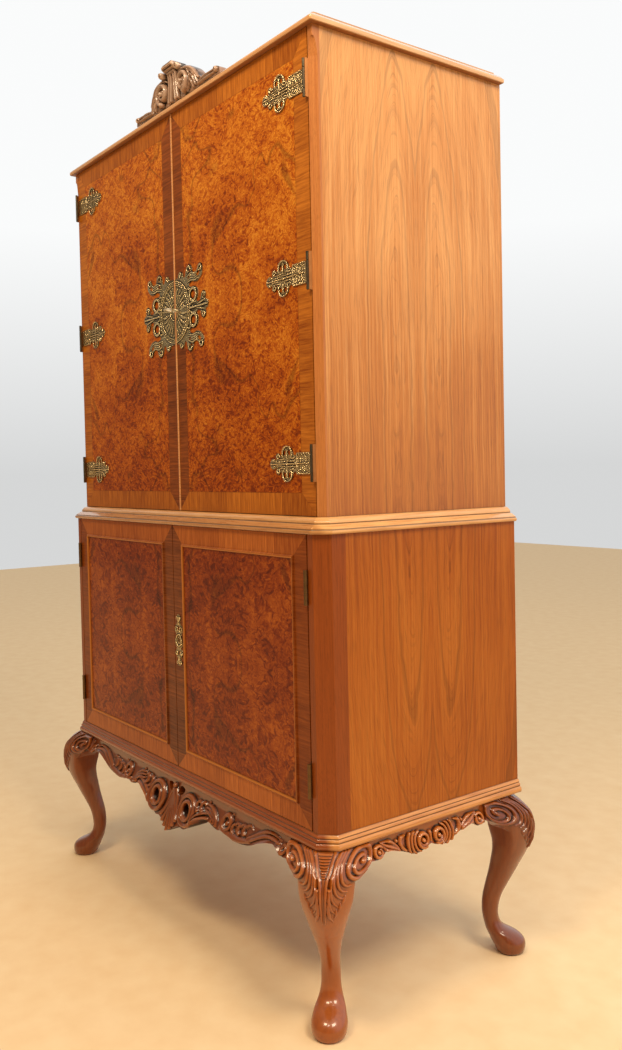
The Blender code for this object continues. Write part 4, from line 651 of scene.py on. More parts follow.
def front_apron_strokes():
    half = []
    for angle in (0, 11, 22, 33):
        lean = math.radians(angle)
        length = 0.0715 - 0.0004 * angle
        tip = (length * math.sin(lean) * 0.8, 0.263 - length * math.cos(lean))
        middle = (tip[0] * 0.38, 0.263 - (0.263 - tip[1]) * 0.5)
        half.append(full(bend([(0.0, 0.263), middle, tip]), 0.003, 0.0036, 0.0044, 0.0075))
    arm = bend([(0.04, 0.2215), (0.057, 0.2165), (0.075, 0.2205), (0.095, 0.2345), (0.116, 0.2425), (0.132, 0.2455)])
    lobe = bend([(0.17, 0.242), (0.183, 0.2405), (0.2, 0.2385), (0.2225, 0.237), (0.243, 0.2395),
                 (0.264, 0.2445)])
    half += [
        even(bend([(0.004, 0.262), (0.0125, 0.25), (0.016, 0.236), (0.0225, 0.222)]), 0.0028, 0.005),
        even(arc((0.057, 0.2385), 0.0246, 60, 420, 60), 0.0048, 0.009),
        even(arc((0.057, 0.2385), 0.016, 60, 420, 60), 0.0044, 0.0105),
        full(arm, 0.0036, 0.0034, 0.002, 0.008),
        full([(a, b + 0.0072) for a, b in arm], 0.0034, 0.0032, 0.0018, 0.007),
        full(arc((0.0925, 0.256), 0.0085, 265, 40, 22, 0.75), 0.0036, 0.0038, 0.0022, 0.0065),
        full(arc((0.108, 0.258), 0.008, 265, 40, 22, 0.75), 0.0036, 0.0038, 0.0022, 0.0065),
        full(arc((0.148, 0.2445), 0.0042, 200, -120, 20, 0.6), 0.0022, 0.0024, 0.0016, 0.006),
        full(arc((0.188, 0.2535), 0.0125, 235, -80, 48, 0.85), 0.0036, 0.0044, 0.003, 0.007),
        dot(0.1885, 0.252, 0.0045, 0.0055),
        full(lobe, 0.003, 0.005, 0.0034, 0.005),
        full(arc((0.3545, 0.2585), 0.0062, 110, -230, 28, 0.55), 0.0026, 0.003, 0.0022, 0.0055),
        *(dot(x, 0.2695, 0.0024, 0.0035) for x in (0.124, 0.201, 0.366)),
    ]
    for lift in (0.0, 0.0052, 0.0104):
        flute = bend([(0.118, 0.265 - lift), (0.133, 0.264 - lift), (0.146, 0.258 - lift * 0.9),
                      (0.1555, 0.249 - lift * 0.6), (0.159 - lift * 0.5, 0.2395)])
        half.append(full(flute, 0.002, 0.0032, 0.0018, 0.006))
    for x, z in ((0.212, 0.25), (0.229, 0.2525), (0.2455, 0.256)):
        tail = bend([(x + 0.002, z + 0.008), (x + 0.01, z + 0.009), (x + 0.017, z + 0.005)])
        half += [full(arc((x, z), 0.0075, 250, 60, 20, 0.7), 0.003, 0.0034, 0.0016, 0.0055),
                 full(tail, 0.0024, 0.0022, 0.0012, 0.004)]
    for lift in (0.0, 0.0058):
        frond = bend([(0.342, 0.2668 - lift * 0.6), (0.322, 0.2712 - lift), (0.302, 0.269 - lift),
                      (0.286, 0.263 - lift), (0.27, 0.2545 - lift * 0.9), (0.256, 0.247 - lift * 0.5)])
        half.append(full(frond, 0.0018, 0.0034, 0.003, 0.0052))
    return both_sides(half) + [dot(0.0, 0.269, 0.0052, 0.0085)]


def apron_fronts(edge, low_proud, tip_proud, strokes, highest):
    ground = swelling(edge, low_proud, tip_proud)

    def front(points):
        carved = carve(strokes, points) * np.clip((0.2745 - points[:, 1]) / 0.002, 0, 1)
        heights = ground(points) + carved
        return np.minimum(heights, highest), carved
    return front


loops = [apron_loop(APRON_EDGE, APRON_HALF, APRON_TOP)]
for side in (-1, 1):
    loops.append([(side * a, b) for a, b in ellipse((0.057, 0.2385), (0.0115, 0.0092))])
    gap = [(0.0105, 0.256), (0.019, 0.2545), (0.0265, 0.259), (0.03, 0.267), (0.0215, 0.2712), (0.0125, 0.269)]
    loops.append([(side * a, b) for a, b in bend(gap, RIM_STEP)])
# The front apron takes the copy darkened as painted shade.
apron = relief_plate("carved_front_apron", loops, RELIEF_STEP,
                     apron_fronts(APRON_EDGE, 0.024, SHELL_PROUD, front_apron_strokes(), SHELL_PROUD),
                     -APRON_THICKNESS, lambda a, b, h: (a, LOWER_FRONT - h, b), shaded_carved_walnut)
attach(apron, "cabinet")
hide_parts("apron_front")


def side_apron_strokes():
    leaf = bend([(0.056, 0.273), (0.063, 0.27), (0.0655, 0.263), (0.062, 0.2555), (0.0545, 0.249)])
    half = [full(arc((0.0172, 0.2565), 0.0118, -115, 330, 60, 0.6), 0.003, 0.0036, 0.0024, 0.0095),
            dot(0.0172, 0.2562, 0.0046, 0.0095), full(leaf, 0.0028, 0.0042, 0.002, 0.0072),
            dot(0.072, 0.2672, 0.003, 0.0055), dot(0.1108, 0.26, 0.0042, 0.009),
            full(arc((0.1108, 0.2605), 0.0092, 140, -215, 44, 0.62), 0.0028, 0.0034, 0.0024, 0.0085)]
    for radius, start, end in ((0.0182, 62, -72), (0.025, 48, -48), (0.0318, 36, -30)):
        half.append(full(arc((0.0172, 0.2565), radius, start, end, 26, 1.0, 0.92), 0.0024, 0.0035, 0.0018, 0.0072))
    for lift, height in ((0.0, 0.007), (0.0064, 0.0082), (0.012, 0.006)):
        frond = bend([(0.104, 0.2735 - lift * 0.3), (0.095, 0.2728 - lift), (0.086, 0.2695 - lift),
                      (0.077, 0.264 - lift * 0.8), (0.07, 0.2575 - lift * 0.4)])
        half.append(full(frond, 0.002, 0.0036, 0.002, height))
    return both_sides(half) + [([(0.0, 0.264), (0.0, 0.252)], [0.0036, 0.0024], 0.006)]


for name, side in (("left", -1), ("right", 1)):
    loops = [apron_loop(SIDE_APRON_EDGE, SIDE_APRON_HALF, APRON_TOP)]
    apron = relief_plate("carved_side_apron_" + name, loops, RELIEF_STEP,
                         apron_fronts(SIDE_APRON_EDGE, SIDE_PROUD, SIDE_PROUD, side_apron_strokes(), 0.015),
                         -APRON_THICKNESS,
                         lambda a, b, h: (side * (cabinet_x + h), SIDE_APRON_Y + a, b), lit_carved_walnut)
    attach(apron, "cabinet")
    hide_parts("apron_" + name)

# Case sides
# Veneered panels with plain walnut leaves opened like a book, so that the
# cathedral figure mirrors about the middle of each side, with a solid post in front.
SIDE_FLAME_OFFSET = 0.045
UPPER_POST_WIDTH = 0.014
LOWER_POST_WIDTH = 0.047
case_middle = (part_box("upper_side_right")[0][1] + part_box("upper_side_right")[1][1]) / 2


def side_veneer(name, upward, bend_height, vein, bleach, colors, post_edge, post_colors, coat):
    """Book-matched plain walnut: nested arches of growth rings, with pores along the grain."""
    material, new, shader = new_material(name)
    place = new("TexCoord").outputs["Object"]
    spot = new("SeparateXYZ", place).outputs
    folded = new("Math ABSOLUTE", new("Math SUBTRACT", spot["Y"], case_middle))
    warp_place = new("CombineXYZ", {"X": new("Math MULTIPLY", folded, 3.0), "Z": spot["Z"]})
    warp = new("TexNoise", warp_place, 4.0, 3.0, 0.6)
    from_axis = new("Math SUBTRACT", folded, SIDE_FLAME_OFFSET)
    spread = new("Math SQRT", new("Math MULTIPLY_ADD", from_axis, from_axis, 0.00022))
    above = new("Math SUBTRACT", spot["Z"], bend_height)
    rise = new("Math MAXIMUM", new("Math MULTIPLY", above, upward), 0.0)
    lean = new("Math MULTIPLY_ADD", new("Math MULTIPLY", rise, rise), 0.28, spread)
    ring_at = new("Math MULTIPLY_ADD", warp, 0.03, lean)
    ring_place = new("CombineXYZ", ring_at)
    rings = new("TexNoise", ring_place, 36.0, 2.0, 0.6)
    line_place = new("CombineXYZ", {"X": new("Math MULTIPLY_ADD", warp, 0.012, folded),
                                    "Z": new("Math MULTIPLY", spot["Z"], 0.012)})
    lines = new("TexNoise", line_place, 300.0, 4.0, 0.6)
    dark_at = new("Math ABSOLUTE", new("Math SUBTRACT", new("TexNoise", ring_place, 64.0, 0.0, 0.6), 0.5))
    dark_line = new("MapRange", dark_at, 0.0, 0.012, vein, 1.0)
    pore_place = new("CombineXYZ", new("Math MULTIPLY", ring_at, 900.0), new("Math MULTIPLY", spot["X"], 900.0),
                     new("Math MULTIPLY", spot["Z"], 30.0))
    pores = new("TexNoise", pore_place, 1.0, 3.0, 0.6)
    clouds = new("TexNoise", new("Mapping", {"Vector": place, "Scale": (2.2, 2.2, 2.2)}), 1.0, 2.0, 0.6)
    value = new("Math MULTIPLY_ADD", lines, 0.46, new("Math MULTIPLY", rings, 0.26))
    # The share given to the height above the bend paints light: the colour grows lighter towards the top.
    for part, share in ((clouds, 0.28), (above, bleach)):
        value = new("Math MULTIPLY_ADD", part, share, value)
    tint = new("ValToRGB", value, stops=zip((0.34, 0.48, 0.64), colors))
    straight = new("Mapping", {"Vector": place, "Scale": (420.0, 420.0, 7.0)})
    post = new("Mix", new("TexNoise", straight, 1.0, 3.0, 0.6), *post_colors, **COLOR)
    is_post = new("Math LESS_THAN", spot["Y"], post_edge)
    face = new("Mix", is_post, tint, post, **COLOR)
    speck = new("MapRange", pores, 0.33, 0.5, 0.8, 1.02)
    shade = new("Math MULTIPLY", speck, new("Math MAXIMUM", dark_line, is_post))
    set_inputs(shader, {"Base Color": new("Mix", 1.0, face, shade, **TINT),
                        "Roughness": new("MapRange", pores, 0, 1, 0.3, 0.42),
                        "Normal": new("Bump", {"Height": pores, "Strength": 0.05, "Distance": 0.0003})})
    polish(shader, coat)
    return material


def dress(node, material):
    """Give a CAD node a better material."""
    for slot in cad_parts[node].material_slots:
        slot.material = material


upper_post_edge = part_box("upper_side_right")[0][1] + UPPER_POST_WIDTH
lower_post_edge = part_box("lower_side_right")[0][1] + LOWER_POST_WIDTH
# The upper side is painted lighter towards its top, a painted light; the lower side has none.
upper_side_veneer = side_veneer("upper side walnut veneer", 1, 1.08, 0.8, 0.3, ("#a35e28", "#bf7936", "#dc9f60"),
                                upper_post_edge, ("#a35a28", "#c98446"), 0.5)
lower_side_veneer = side_veneer("lower side walnut veneer", -1, 0.7, 0.76, 0.0, ("#88400e", "#a85a18", "#bb7028"),
                                lower_post_edge, ("#74330e", "#a0501a"), 0.12)
for name in ("left", "right"):
    dress("upper_side_" + name, upper_side_veneer)
    dress("lower_side_" + name, lower_side_veneer)

# Moulded boards
# Straight-grained walnut boards with moulded edges, mitred at the corners and polished, lighter than the carving; the
# paler, greyer colours of the waist and the cornice are partly a painted highlight.
UPPER_CHAMFER = 0.0103
LOWER_CANT = 0.0207
CORNICE_ARRIS = 0.002
BOLT_SOCKET_DEPTH = 0.01
BOLT_PLAY = 0.0005
# Distance out from the case below, share of the height, depth of the hollow there, which shapes nothing and only
# darkens the colour: painted shade in the quirks and at the joints, partly gathered wax
CORNICE_ROWS = (
    (0.0085, 0.0, -1.0), (0.0098, 0.03, 0.0), (0.01, 0.09, 1.0), (0.01, 0.2, 1.0), (0.0096, 0.27, 0.0),
    (0.0078, 0.285, -2.5), (0.0074, 0.33, -2.5), (0.007, 0.345, 0.0), (0.0055, 0.42, 1.0), (0.003, 0.5, 0.5),
    (0.0, 0.6, 0.0), (-0.0024, 0.62, -2.5), (-0.0032, 0.66, -2.5), (-0.0042, 0.68, 0.5), (-0.009, 0.75, 1.0),
    (-0.013, 0.8, 0.0), (-0.013, 1.0, 0.0),
)
BASE_ROWS = (
    (0.0066, 0.0, 0.0), (0.0079, 0.03, 0.0), (0.0086, 0.1, 0.0), (0.0087, 0.2, 1.0), (0.0085, 0.3, 1.0),
    (0.0078, 0.38, 0.5), (0.0068, 0.44, 0.0), (0.0052, 0.47, -2.5), (0.005, 0.52, -2.5), (0.0059, 0.54, 0.0),
    (0.0057, 0.6, 0.8), (0.005, 0.66, 0.5), (0.0044, 0.7, 0.0), (0.0032, 0.73, -2.5), (0.0031, 0.77, -2.5),
    (0.0037, 0.79, 0.5), (0.0034, 0.84, 1.5), (0.0026, 0.9, 1.0), (0.0016, 0.95, 0.0), (0.0008, 1.0, -2.0),
)
WAIST_ROWS = (
    (0.0036, 0.0, -1.0), (0.005, 0.03, 0.0), (0.0059, 0.09, 0.8), (0.006, 0.16, 1.2), (0.0055, 0.22, 0.5),
    (0.0039, 0.245, -2.5), (0.0034, 0.29, -2.5), (0.0034, 0.33, 0.0), (0.001, 0.39, 0.5), (-0.0026, 0.47, 0.6),
    (-0.0062, 0.56, 0.0), (-0.0082, 0.58, -2.5), (-0.0088, 0.62, -2.5), (-0.0083, 0.64, 0.5), (-0.0088, 0.72, 1.0),
    (-0.0102, 0.79, 0.8), (-0.0122, 0.87, 0.5), (-0.015, 0.96, 0.0), (-0.018, 1.0, -1.5),
)


def moulded_wood(name, dark, light, has_hollows, front_tone):
    """Straight walnut, the run across the front darkened as painted shade against the lit runs along the sides."""
    material, new, shader = new_material(name)
    place = new("TexCoord").outputs["Object"]
    grain = new("TexNoise", new("Mapping", {"Vector": place, "Scale": (7.0, 7.0, 160.0)}), 2.2, 5.0)
    color = new("Mix", grain, dark, light, **COLOR)
    if has_hollows:
        # Darker where the rows mark a hollow: painted shade in the quirks and at the joints, partly gathered wax.
        depth = new("Attribute", attribute_name="relief").outputs["Fac"]
        color = new("Mix", 1.0, color, new("MapRange", depth, 0.0, 0.7, 0.18, 1.0), **TINT)
    # The front run is multiplied by the front tone: painted shade, the side runs being the lit ones.
    ahead = new("MapRange", new("SeparateXYZ", place).outputs["Y"],
                LOWER_FRONT + 0.004, LOWER_FRONT + 0.012, 1.0, 0.0)
    color = new("Mix", ahead, color, new("Mix", 1.0, color, front_tone, **TINT), **COLOR)
    set_inputs(shader, {"Base Color": color, "Roughness": new("MapRange", grain, 0, 1, 0.22, 0.34)})
    polish(shader, 0.9, 0.25)
    return material


def rounded(corner, before, after, radius=0.0022):
    """A corner of a plan turned into a small curve."""
    corner = np.array(corner)
    towards = []
    for other in (before, after):
        way = np.array(other) - corner
        towards.append(way * radius * 0.41 / np.linalg.norm(way))
    return [tuple(corner + towards[0] * (1 - t) ** 2 + towards[1] * t ** 2) for t in np.linspace(0, 1, 5)]


def bolt_socket(node):
    """Plan of the hole that a flush bolt enters."""
    low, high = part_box(node)
    return [(low[0] - BOLT_PLAY, low[1] - BOLT_PLAY), (high[0] + BOLT_PLAY, low[1] - BOLT_PLAY),
            (high[0] + BOLT_PLAY, high[1] + BOLT_PLAY), (low[0] - BOLT_PLAY, high[1] + BOLT_PLAY)]


def moulded_board(name, node, rows, plan, material, below=(), above=()):
    """Moulded on its front and sides, with the holes of the door bolts in its faces."""
    low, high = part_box(node)
    verts, hollow = [], []
    for out, share, depth in rows:
        half, front, cant = plan(out)
        corners = [(half, high[1]), (half, front + cant), (half - cant, front), (-half + cant, front),
                   (-half, front + cant), (-half, high[1])]
        ring = [corners[0]]
        for before, corner, after in zip(corners, corners[1:], corners[2:]):
            ring += rounded(corner, before, after)
        ring.append(corners[-1])
        verts += [(a, b, low[2] + share * (high[2] - low[2])) for a, b in ring]
        # These hollow depths only paint shade through the relief colour; the faces are not cut in.
        hollow += [depth * MM] * len(ring)
    size = len(ring)
    faces = ring_faces(len(rows), size)
    for start, level, into, sockets in ((0, low[2], 1, below), (len(verts) - size, high[2], -1, above)):
        index = list(range(start, start + size))
        loops = [[verts[i][:2] for i in index]]
        for loop in sockets:
            base = len(verts)
            verts += [(a, b, level) for a, b in loop] + [(a, b, level + into * BOLT_SOCKET_DEPTH) for a, b in loop]
            hollow += [0.0] * 8
            faces += [(base + k, base + (k + 1) % 4, base + 4 + (k + 1) % 4, base + 4 + k) for k in range(4)]
            faces.append(tuple(range(base + 4, base + 8)))
            index += range(base, base + 4)
            loops.append(loop)
        faces += [[index[i] for i in face] for face in triangulate(loops, [])]
    board = make_mesh(name, verts, faces, material, 50, hollow, 0.003)
    board.data.materials.append(inner_walnut)
    for polygon in board.data.polygons:
        if abs(polygon.normal.z) > 0.999:
            polygon.material_index = 1
    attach(board, "cabinet")
    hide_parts(node)


def base_plan(out):
    return cabinet_x + out, LOWER_FRONT - out, LOWER_CANT + out * (2 - math.sqrt(2))


def waist_plan(out):
    inset = cabinet_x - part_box("upper_side_right")[1][0]
    part = max(0.0, -out / inset)
    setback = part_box("upper_side_right")[0][1] - LOWER_FRONT
    return (cabinet_x + max(out, 0.0) - part * inset, LOWER_FRONT - max(out, 0.0) + part * setback,
            LOWER_CANT + (UPPER_CHAMFER - LOWER_CANT) * part + max(out, 0.0) * (2 - math.sqrt(2)))


def cornice_plan(out):
    """Mitred square at the corners, unlike the boards below."""
    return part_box("upper_side_right")[1][0] + out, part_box("upper_side_right")[0][1] - out, CORNICE_ARRIS


inner_walnut, new, shader = new_material("plain inner walnut")
stretched = new("Mapping", {"Vector": new("TexCoord").outputs["Object"], "Scale": (4.0, 50.0, 50.0)})
grain = new("TexNoise", stretched, 2.0, 5.0)
set_inputs(shader, {"Base Color": new("Mix", grain, "#7b4422", "#a96c3d", **COLOR), "Roughness": 0.45})
# The last colour of each darkens the front runs as painted shade.
moulded_walnut = moulded_wood("plain moulded walnut", "#a86432", "#f0b274", False, "#fff0e0")
base_walnut = moulded_wood("moulded base walnut", "#a0561e", "#f0ac62", True, "#b6875e")
# The waist and the cornice take paler, greyer colours: their own tone and a painted highlight.
waist_walnut = moulded_wood("moulded waist walnut", "#ae6c36", "#f8c27e", True, "#ded2c8")
cornice_walnut = moulded_wood("moulded cornice walnut", "#a87448", "#f4c490", True, "#fff0e0")
dress("rail_back", moulded_walnut)
moulded_board("moulded_base", "base_board", BASE_ROWS, base_plan, base_walnut)
moulded_board("moulded_waist", "waist_board", WAIST_ROWS, waist_plan, waist_walnut,
              [bolt_socket("lower_bolt_top")], [bolt_socket("upper_bolt_bottom")])
moulded_board("moulded_cornice", "cornice", CORNICE_ROWS, cornice_plan, cornice_walnut,
              [bolt_socket("upper_bolt_top")])

# Doors
# Blockboard doors faced with burr walnut in four matched leaves, framed by
# straight walnut bands laid across the edge, the ones at the meeting edges darker.
BAND_WIDTH = 0.035
UPPER_MATCH_HEIGHT = 1.148    # where the four burr leaves of a pair of doors meet
LOWER_MATCH_HEIGHT = 0.529


def burr_door(name, box, burr, band, dark_band, match_height, streak, bead_half, grow, side_tone, bleach):
    """Burr and cross bands of a pair of doors, mirrored about the meeting line and the match height."""
    material, new, shader = new_material(name)
    spot = new("SeparateXYZ", new("TexCoord").outputs["Object"]).outputs
    x = new("Math ABSOLUTE", spot["X"])
    z = spot["Z"]
    above = new("Math SUBTRACT", z, match_height)
    leaf = new("CombineXYZ", {"X": x, "Z": new("Math ABSOLUTE", above)})
    turned = new("Mapping", {"Vector": leaf, "Rotation": (0.0, math.radians(streak), 0.0),
                             "Scale": (0.82 * grow, 1.0, 1.15 * grow)})
    drift = new("TexNoise", leaf, 8.0, 2.0).outputs["Color"]
    bent = new("VectorMath MULTIPLY_ADD", drift, (0.045, 0.045, 0.045), turned)
    warp = new("TexNoise", bent, 70.0, 3.0).outputs["Color"]
    warped = new("VectorMath MULTIPLY_ADD", warp, (0.014, 0.014, 0.014), bent)
    curls, mottle, fine, clouds, strand, growth = (
        new("TexNoise", {"Vector": at, "Scale": scale, "Detail": detail, "Roughness": rough, "Distortion": twist})
        for at, scale, detail, rough, twist in (
            (warped, 105.0, 3.0, 0.55, 1.4), (warped, 210.0, 4.0, 0.6, 0.8), (warped, 330.0, 3.0, 0.5, 0.4),
            (leaf, 13.0, 3.0, 0.5, 1.0), (warped, 105.0, 1.0, 0.5, 1.2), (leaf, 5.5, 2.0, 0.5, 0.5)))
    strands = new("MapRange", new("Math ABSOLUTE", new("Math SUBTRACT", strand, 0.5)), 0.0, 0.06, 1.0, 0.0)
    value = new("Math MULTIPLY_ADD", mottle, 0.32, new("Math MULTIPLY", curls, 0.32))
    # The share given to the height above the match line paints light: the upper doors grow lighter towards the top,
    # the lower ones a touch darker.
    for part, share in ((fine, 0.1), (clouds, 0.22), (strands, 0.06), (above, bleach)):
        value = new("Math MULTIPLY_ADD", part, share, value)
    tint = new("ValToRGB", value, stops=zip((0.4, 0.465, 0.53, 0.61), burr))
    dots = new("MapRange", new("TexVoronoi", {"Vector": warped, "Scale": 60.0}), 0.02, 0.13, 0.55, 1.0)
    growth_line = new("MapRange", new("Math ABSOLUTE", new("Math SUBTRACT", growth, 0.5)), 0.002, 0.013, 0.45, 1.0)
    burr_color = new("Mix", 0.7, tint, new("Math MULTIPLY", dots, growth_line), **TINT)
    low, high = box
    to_side = new("Math MINIMUM", new("Math SUBTRACT", x, low[0]), new("Math SUBTRACT", high[0], x))
    to_end = new("Math MINIMUM", new("Math SUBTRACT", z, low[1]), new("Math SUBTRACT", high[1], z))
    upright = new("Math LESS_THAN", to_side, to_end)
    edge = new("Math MINIMUM", to_side, to_end)
    banded = new("Math LESS_THAN", edge, BAND_WIDTH)
    inner = new("Math LESS_THAN", x, low[0] + BAND_WIDTH + 0.001)
    along = new("Math ADD", new("Math MULTIPLY", z, upright),
                new("Math MULTIPLY", spot["X"], new("Math SUBTRACT", 1.0, upright)))
    stripe_place = new("CombineXYZ", new("Math MULTIPLY", along, 300.0), new("Math MULTIPLY", edge, 18.0))
    stripes = new("TexNoise", stripe_place, 1.0, 5.0, 0.62)
    tone = new("TexWhiteNoise", {"W": new("Math FLOOR", new("Math DIVIDE", along, 0.083))}, noise_dimensions="1D")
    band_value = new("Math MULTIPLY_ADD", tone, 0.35, new("Math MULTIPLY_ADD", stripes, 2.2, -0.78))
    light_band = new("Mix", upright, new("Mix", band_value, *band, **COLOR), side_tone, **TINT)
    deep_band = new("Mix", band_value, *dark_band, **COLOR)
    band_color = new("Mix", new("Math MULTIPLY", upright, inner), light_band, deep_band, **COLOR)
    face = new("Mix", banded, burr_color, band_color, **COLOR)
    from_bead = new("Math ABSOLUTE", new("Math SUBTRACT", edge, BAND_WIDTH + bead_half))
    face = new("Mix", new("Math LESS_THAN", from_bead, bead_half), face, "#bd7434", **COLOR)
    seam = new("Math ABSOLUTE", new("Math SUBTRACT", from_bead, bead_half))
    mitre = new("Math ABSOLUTE", new("Math SUBTRACT", to_side, to_end))
    mitre = new("Math MAXIMUM", mitre, new("Math SUBTRACT", 1.0, banded))
    face = new("Mix", 1.0, face, new("MapRange", seam, 0.0002, 0.001, 0.72, 1.0), **TINT)
    face = new("Mix", 1.0, face, new("MapRange", mitre, 0.0002, 0.0008, 0.75, 1.0), **TINT)
    set_inputs(shader, {"Base Color": face, "Roughness": new("MapRange", fine, 0, 1, 0.24, 0.36),
                        "Normal": new("Bump", {"Height": curls, "Strength": 0.04, "Distance": 0.0006})})
    polish(shader, 0.06, 0.14)
    return material


def door_box(node):
    low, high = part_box(node)
    return (low[0], low[2]), (high[0], high[2])


upper_box = door_box("upper_door_right")
lower_box = door_box("lower_door_right")
# The upper doors are painted lighter towards their top, a painted light.
upper_burr = burr_door("upper door burr walnut", upper_box, ("#742c06", "#a04808", "#be6714", "#dc8e2c"),
                       ("#86400c", "#cd7c28"), ("#56260a", "#9c5220"), UPPER_MATCH_HEIGHT,
                       18, 0.0, 1.0, "#ffffff", 0.11)
lower_burr = burr_door("lower door burr walnut", lower_box, ("#5c1d05", "#7a2c08", "#93410d", "#b25c1a"),
                       ("#8a4014", "#c87432"), ("#4e2008", "#945024"), LOWER_MATCH_HEIGHT,
                       24, 0.0015, 0.72, "#c2b0a0", -0.02)
for name in ("left", "right"):
    dress("upper_door_" + name, upper_burr)
    dress("lower_door_" + name, lower_burr)

# Inside of the case
# Plain polished walnut boards and backs, a silvered mirror and a clear glass
# shelf that slides in grooves.
for node in ("lower_back", "lower_shelf", "upper_back", "upper_floor", "upper_top"):
    dress(node, inner_walnut)
silvered, new, shader = new_material("silvered mirror glass")
haze = new("TexNoise", {"Scale": 9.0, "Detail": 3.0})
set_inputs(shader, {"Base Color": "#f1f2f2", "Metallic": 1.0, "Roughness": new("MapRange", haze, 0, 1, 0.02, 0.06)})
dress("mirror", silvered)
clear_glass, new, shader = new_material("clear plate glass")
haze = new("TexNoise", {"Scale": 12.0, "Detail": 2.0})
set_inputs(shader, {"Base Color": "#eef7f3", "Transmission Weight": 1.0, "IOR": 1.5,
                    "Roughness": new("MapRange", haze, 0, 1, 0.01, 0.04)})
dress("glass_shelf", clear_glass)

# Strap hinges
# Pierced and chased brass straps on the faces of the upper doors, each with a
# dark barrel; the leaf behind it is let into the side.
STRAP_STEP = 0.0009
STRAP_BARREL_RADIUS = 0.004
SLIM_BARREL_RADIUS = 0.0023
STRAP_PIN_HOLE = 0.0015
STRAP_PIN_RADIUS = 0.0012
STRAP_KNUCKLE = 0.0153        # half the length of the strap's own knuckle
FRAME_KNUCKLE = 0.0158        # where the knuckles of the frame leaf begin


def aged_brass(name, bright, dull, dark, rough, deepest, highest):
    """Chased brass, rubbed on the high parts and brown in the hollows."""
    material, new, shader = new_material(name)
    place = new("TexCoord").outputs["Object"]
    bloom = new("TexNoise", place, 90.0, 5.0)
    depth = new("Attribute", attribute_name="relief").outputs["Fac"]
    tone = new("Mix", bloom, dull, bright, **COLOR)
    color = new("Mix", new("MapRange", depth, deepest, highest), dark, tone, **COLOR)
    pitted = new("TexNoise", place, 520.0, 2.0)
    set_inputs(shader, {"Base Color": color, "Metallic": 1.0,
                        "Roughness": new("MapRange", bloom, 0, 1, rough, rough + 0.14),
                        "Normal": new("Bump", {"Height": pitted, "Strength": 1.0, "Distance": 0.0022})})
    return material


def plain_brass(name, bright, dull, rough):
    """Plain metal with a faint bloom."""
    material, new, shader = new_material(name)
    bloom = new("TexNoise", new("TexCoord").outputs["Object"], 110.0, 5.0)
    set_inputs(shader, {"Base Color": new("Mix", bloom, dull, bright, **COLOR), "Metallic": 1.0,
                        "Roughness": new("MapRange", bloom, 0, 1, rough, rough + 0.2)})
    return material

def chased(thickness, strokes, highest):
    """Front of a chased plate: its thickness and the work on it."""
    def front(points):
        carved = carve(strokes, points)
        return np.minimum(thickness + carved, highest), carved
    return front


def lathe(name, profile, origin, material, count=28, lying=False):
    """A closed profile of radius and height turned about an upright line, or about a line from front to back."""
    verts = []
    for i in range(count):
        turn = 2 * math.pi * i / count
        for r, h in profile:
            a, b = r * math.cos(turn), r * math.sin(turn)
            offset = (a, h, b) if lying else (a, b, h)
            verts.append(tuple(origin[k] + offset[k] for k in range(3)))
    return make_mesh(name, verts, ring_faces(count, len(profile), True), material, 30)


def knuckle_profile(radius, hole, low, high):
    chamfer = 0.0004
    return [(hole, low), (radius - chamfer, low), (radius, low + chamfer), (radius, high - chamfer),
            (radius - chamfer, high), (hole, high)]


def with_holes(outline, holes, count):
    """A plate's outline, and its holes above and below its middle line."""
    return [outline] + [[(a, flip * b) for a, b in ellipse((x, z), (rx, rz), count, tilt)]
                        for flip in (-1, 1) for x, z, rx, rz, tilt in holes]


def strap_loops():
    box = [(0.0, -0.0155), (0.0095, -0.0155), (0.012, -0.017)]
    curve = bend([(0.044, 0.017), (0.0462, 0.0135), (0.05, 0.0128), (0.0535, 0.016), (0.0565, 0.022),
                  (0.062, 0.0265), (0.0695, 0.0283), (0.077, 0.0265), (0.0828, 0.0212), (0.0842, 0.0155),
                  (0.0862, 0.0122), (0.089, 0.0145), (0.0925, 0.0168), (0.0975, 0.016), (0.1, 0.012),
                  (0.0985, 0.0072), (0.101, 0.0066), (0.105, 0.0086), (0.11, 0.0078), (0.1142, 0.0045),
                  (0.1165, 0.0)], STRAP_STEP)
    loop = box + [(a, -b) for a, b in curve[:-1]] + curve[::-1] + [(a, -b) for a, b in reversed(box)]
    dense = []
    for (ax, az), (bx, bz) in zip(loop, loop[1:] + loop[:1]):
        parts = max(1, int(math.hypot(bx - ax, bz - az) / STRAP_STEP + 0.5))
        dense += [(ax + (bx - ax) * k / parts, az + (bz - az) * k / parts) for k in range(parts)]
    return with_holes(dense, ((0.064, 0.0178, 0.003, 0.0046, -0.35), (0.076, 0.0172, 0.003, 0.0042, 0.4),
                              (0.0885, 0.0088, 0.002, 0.0017, 0.0)), 16)


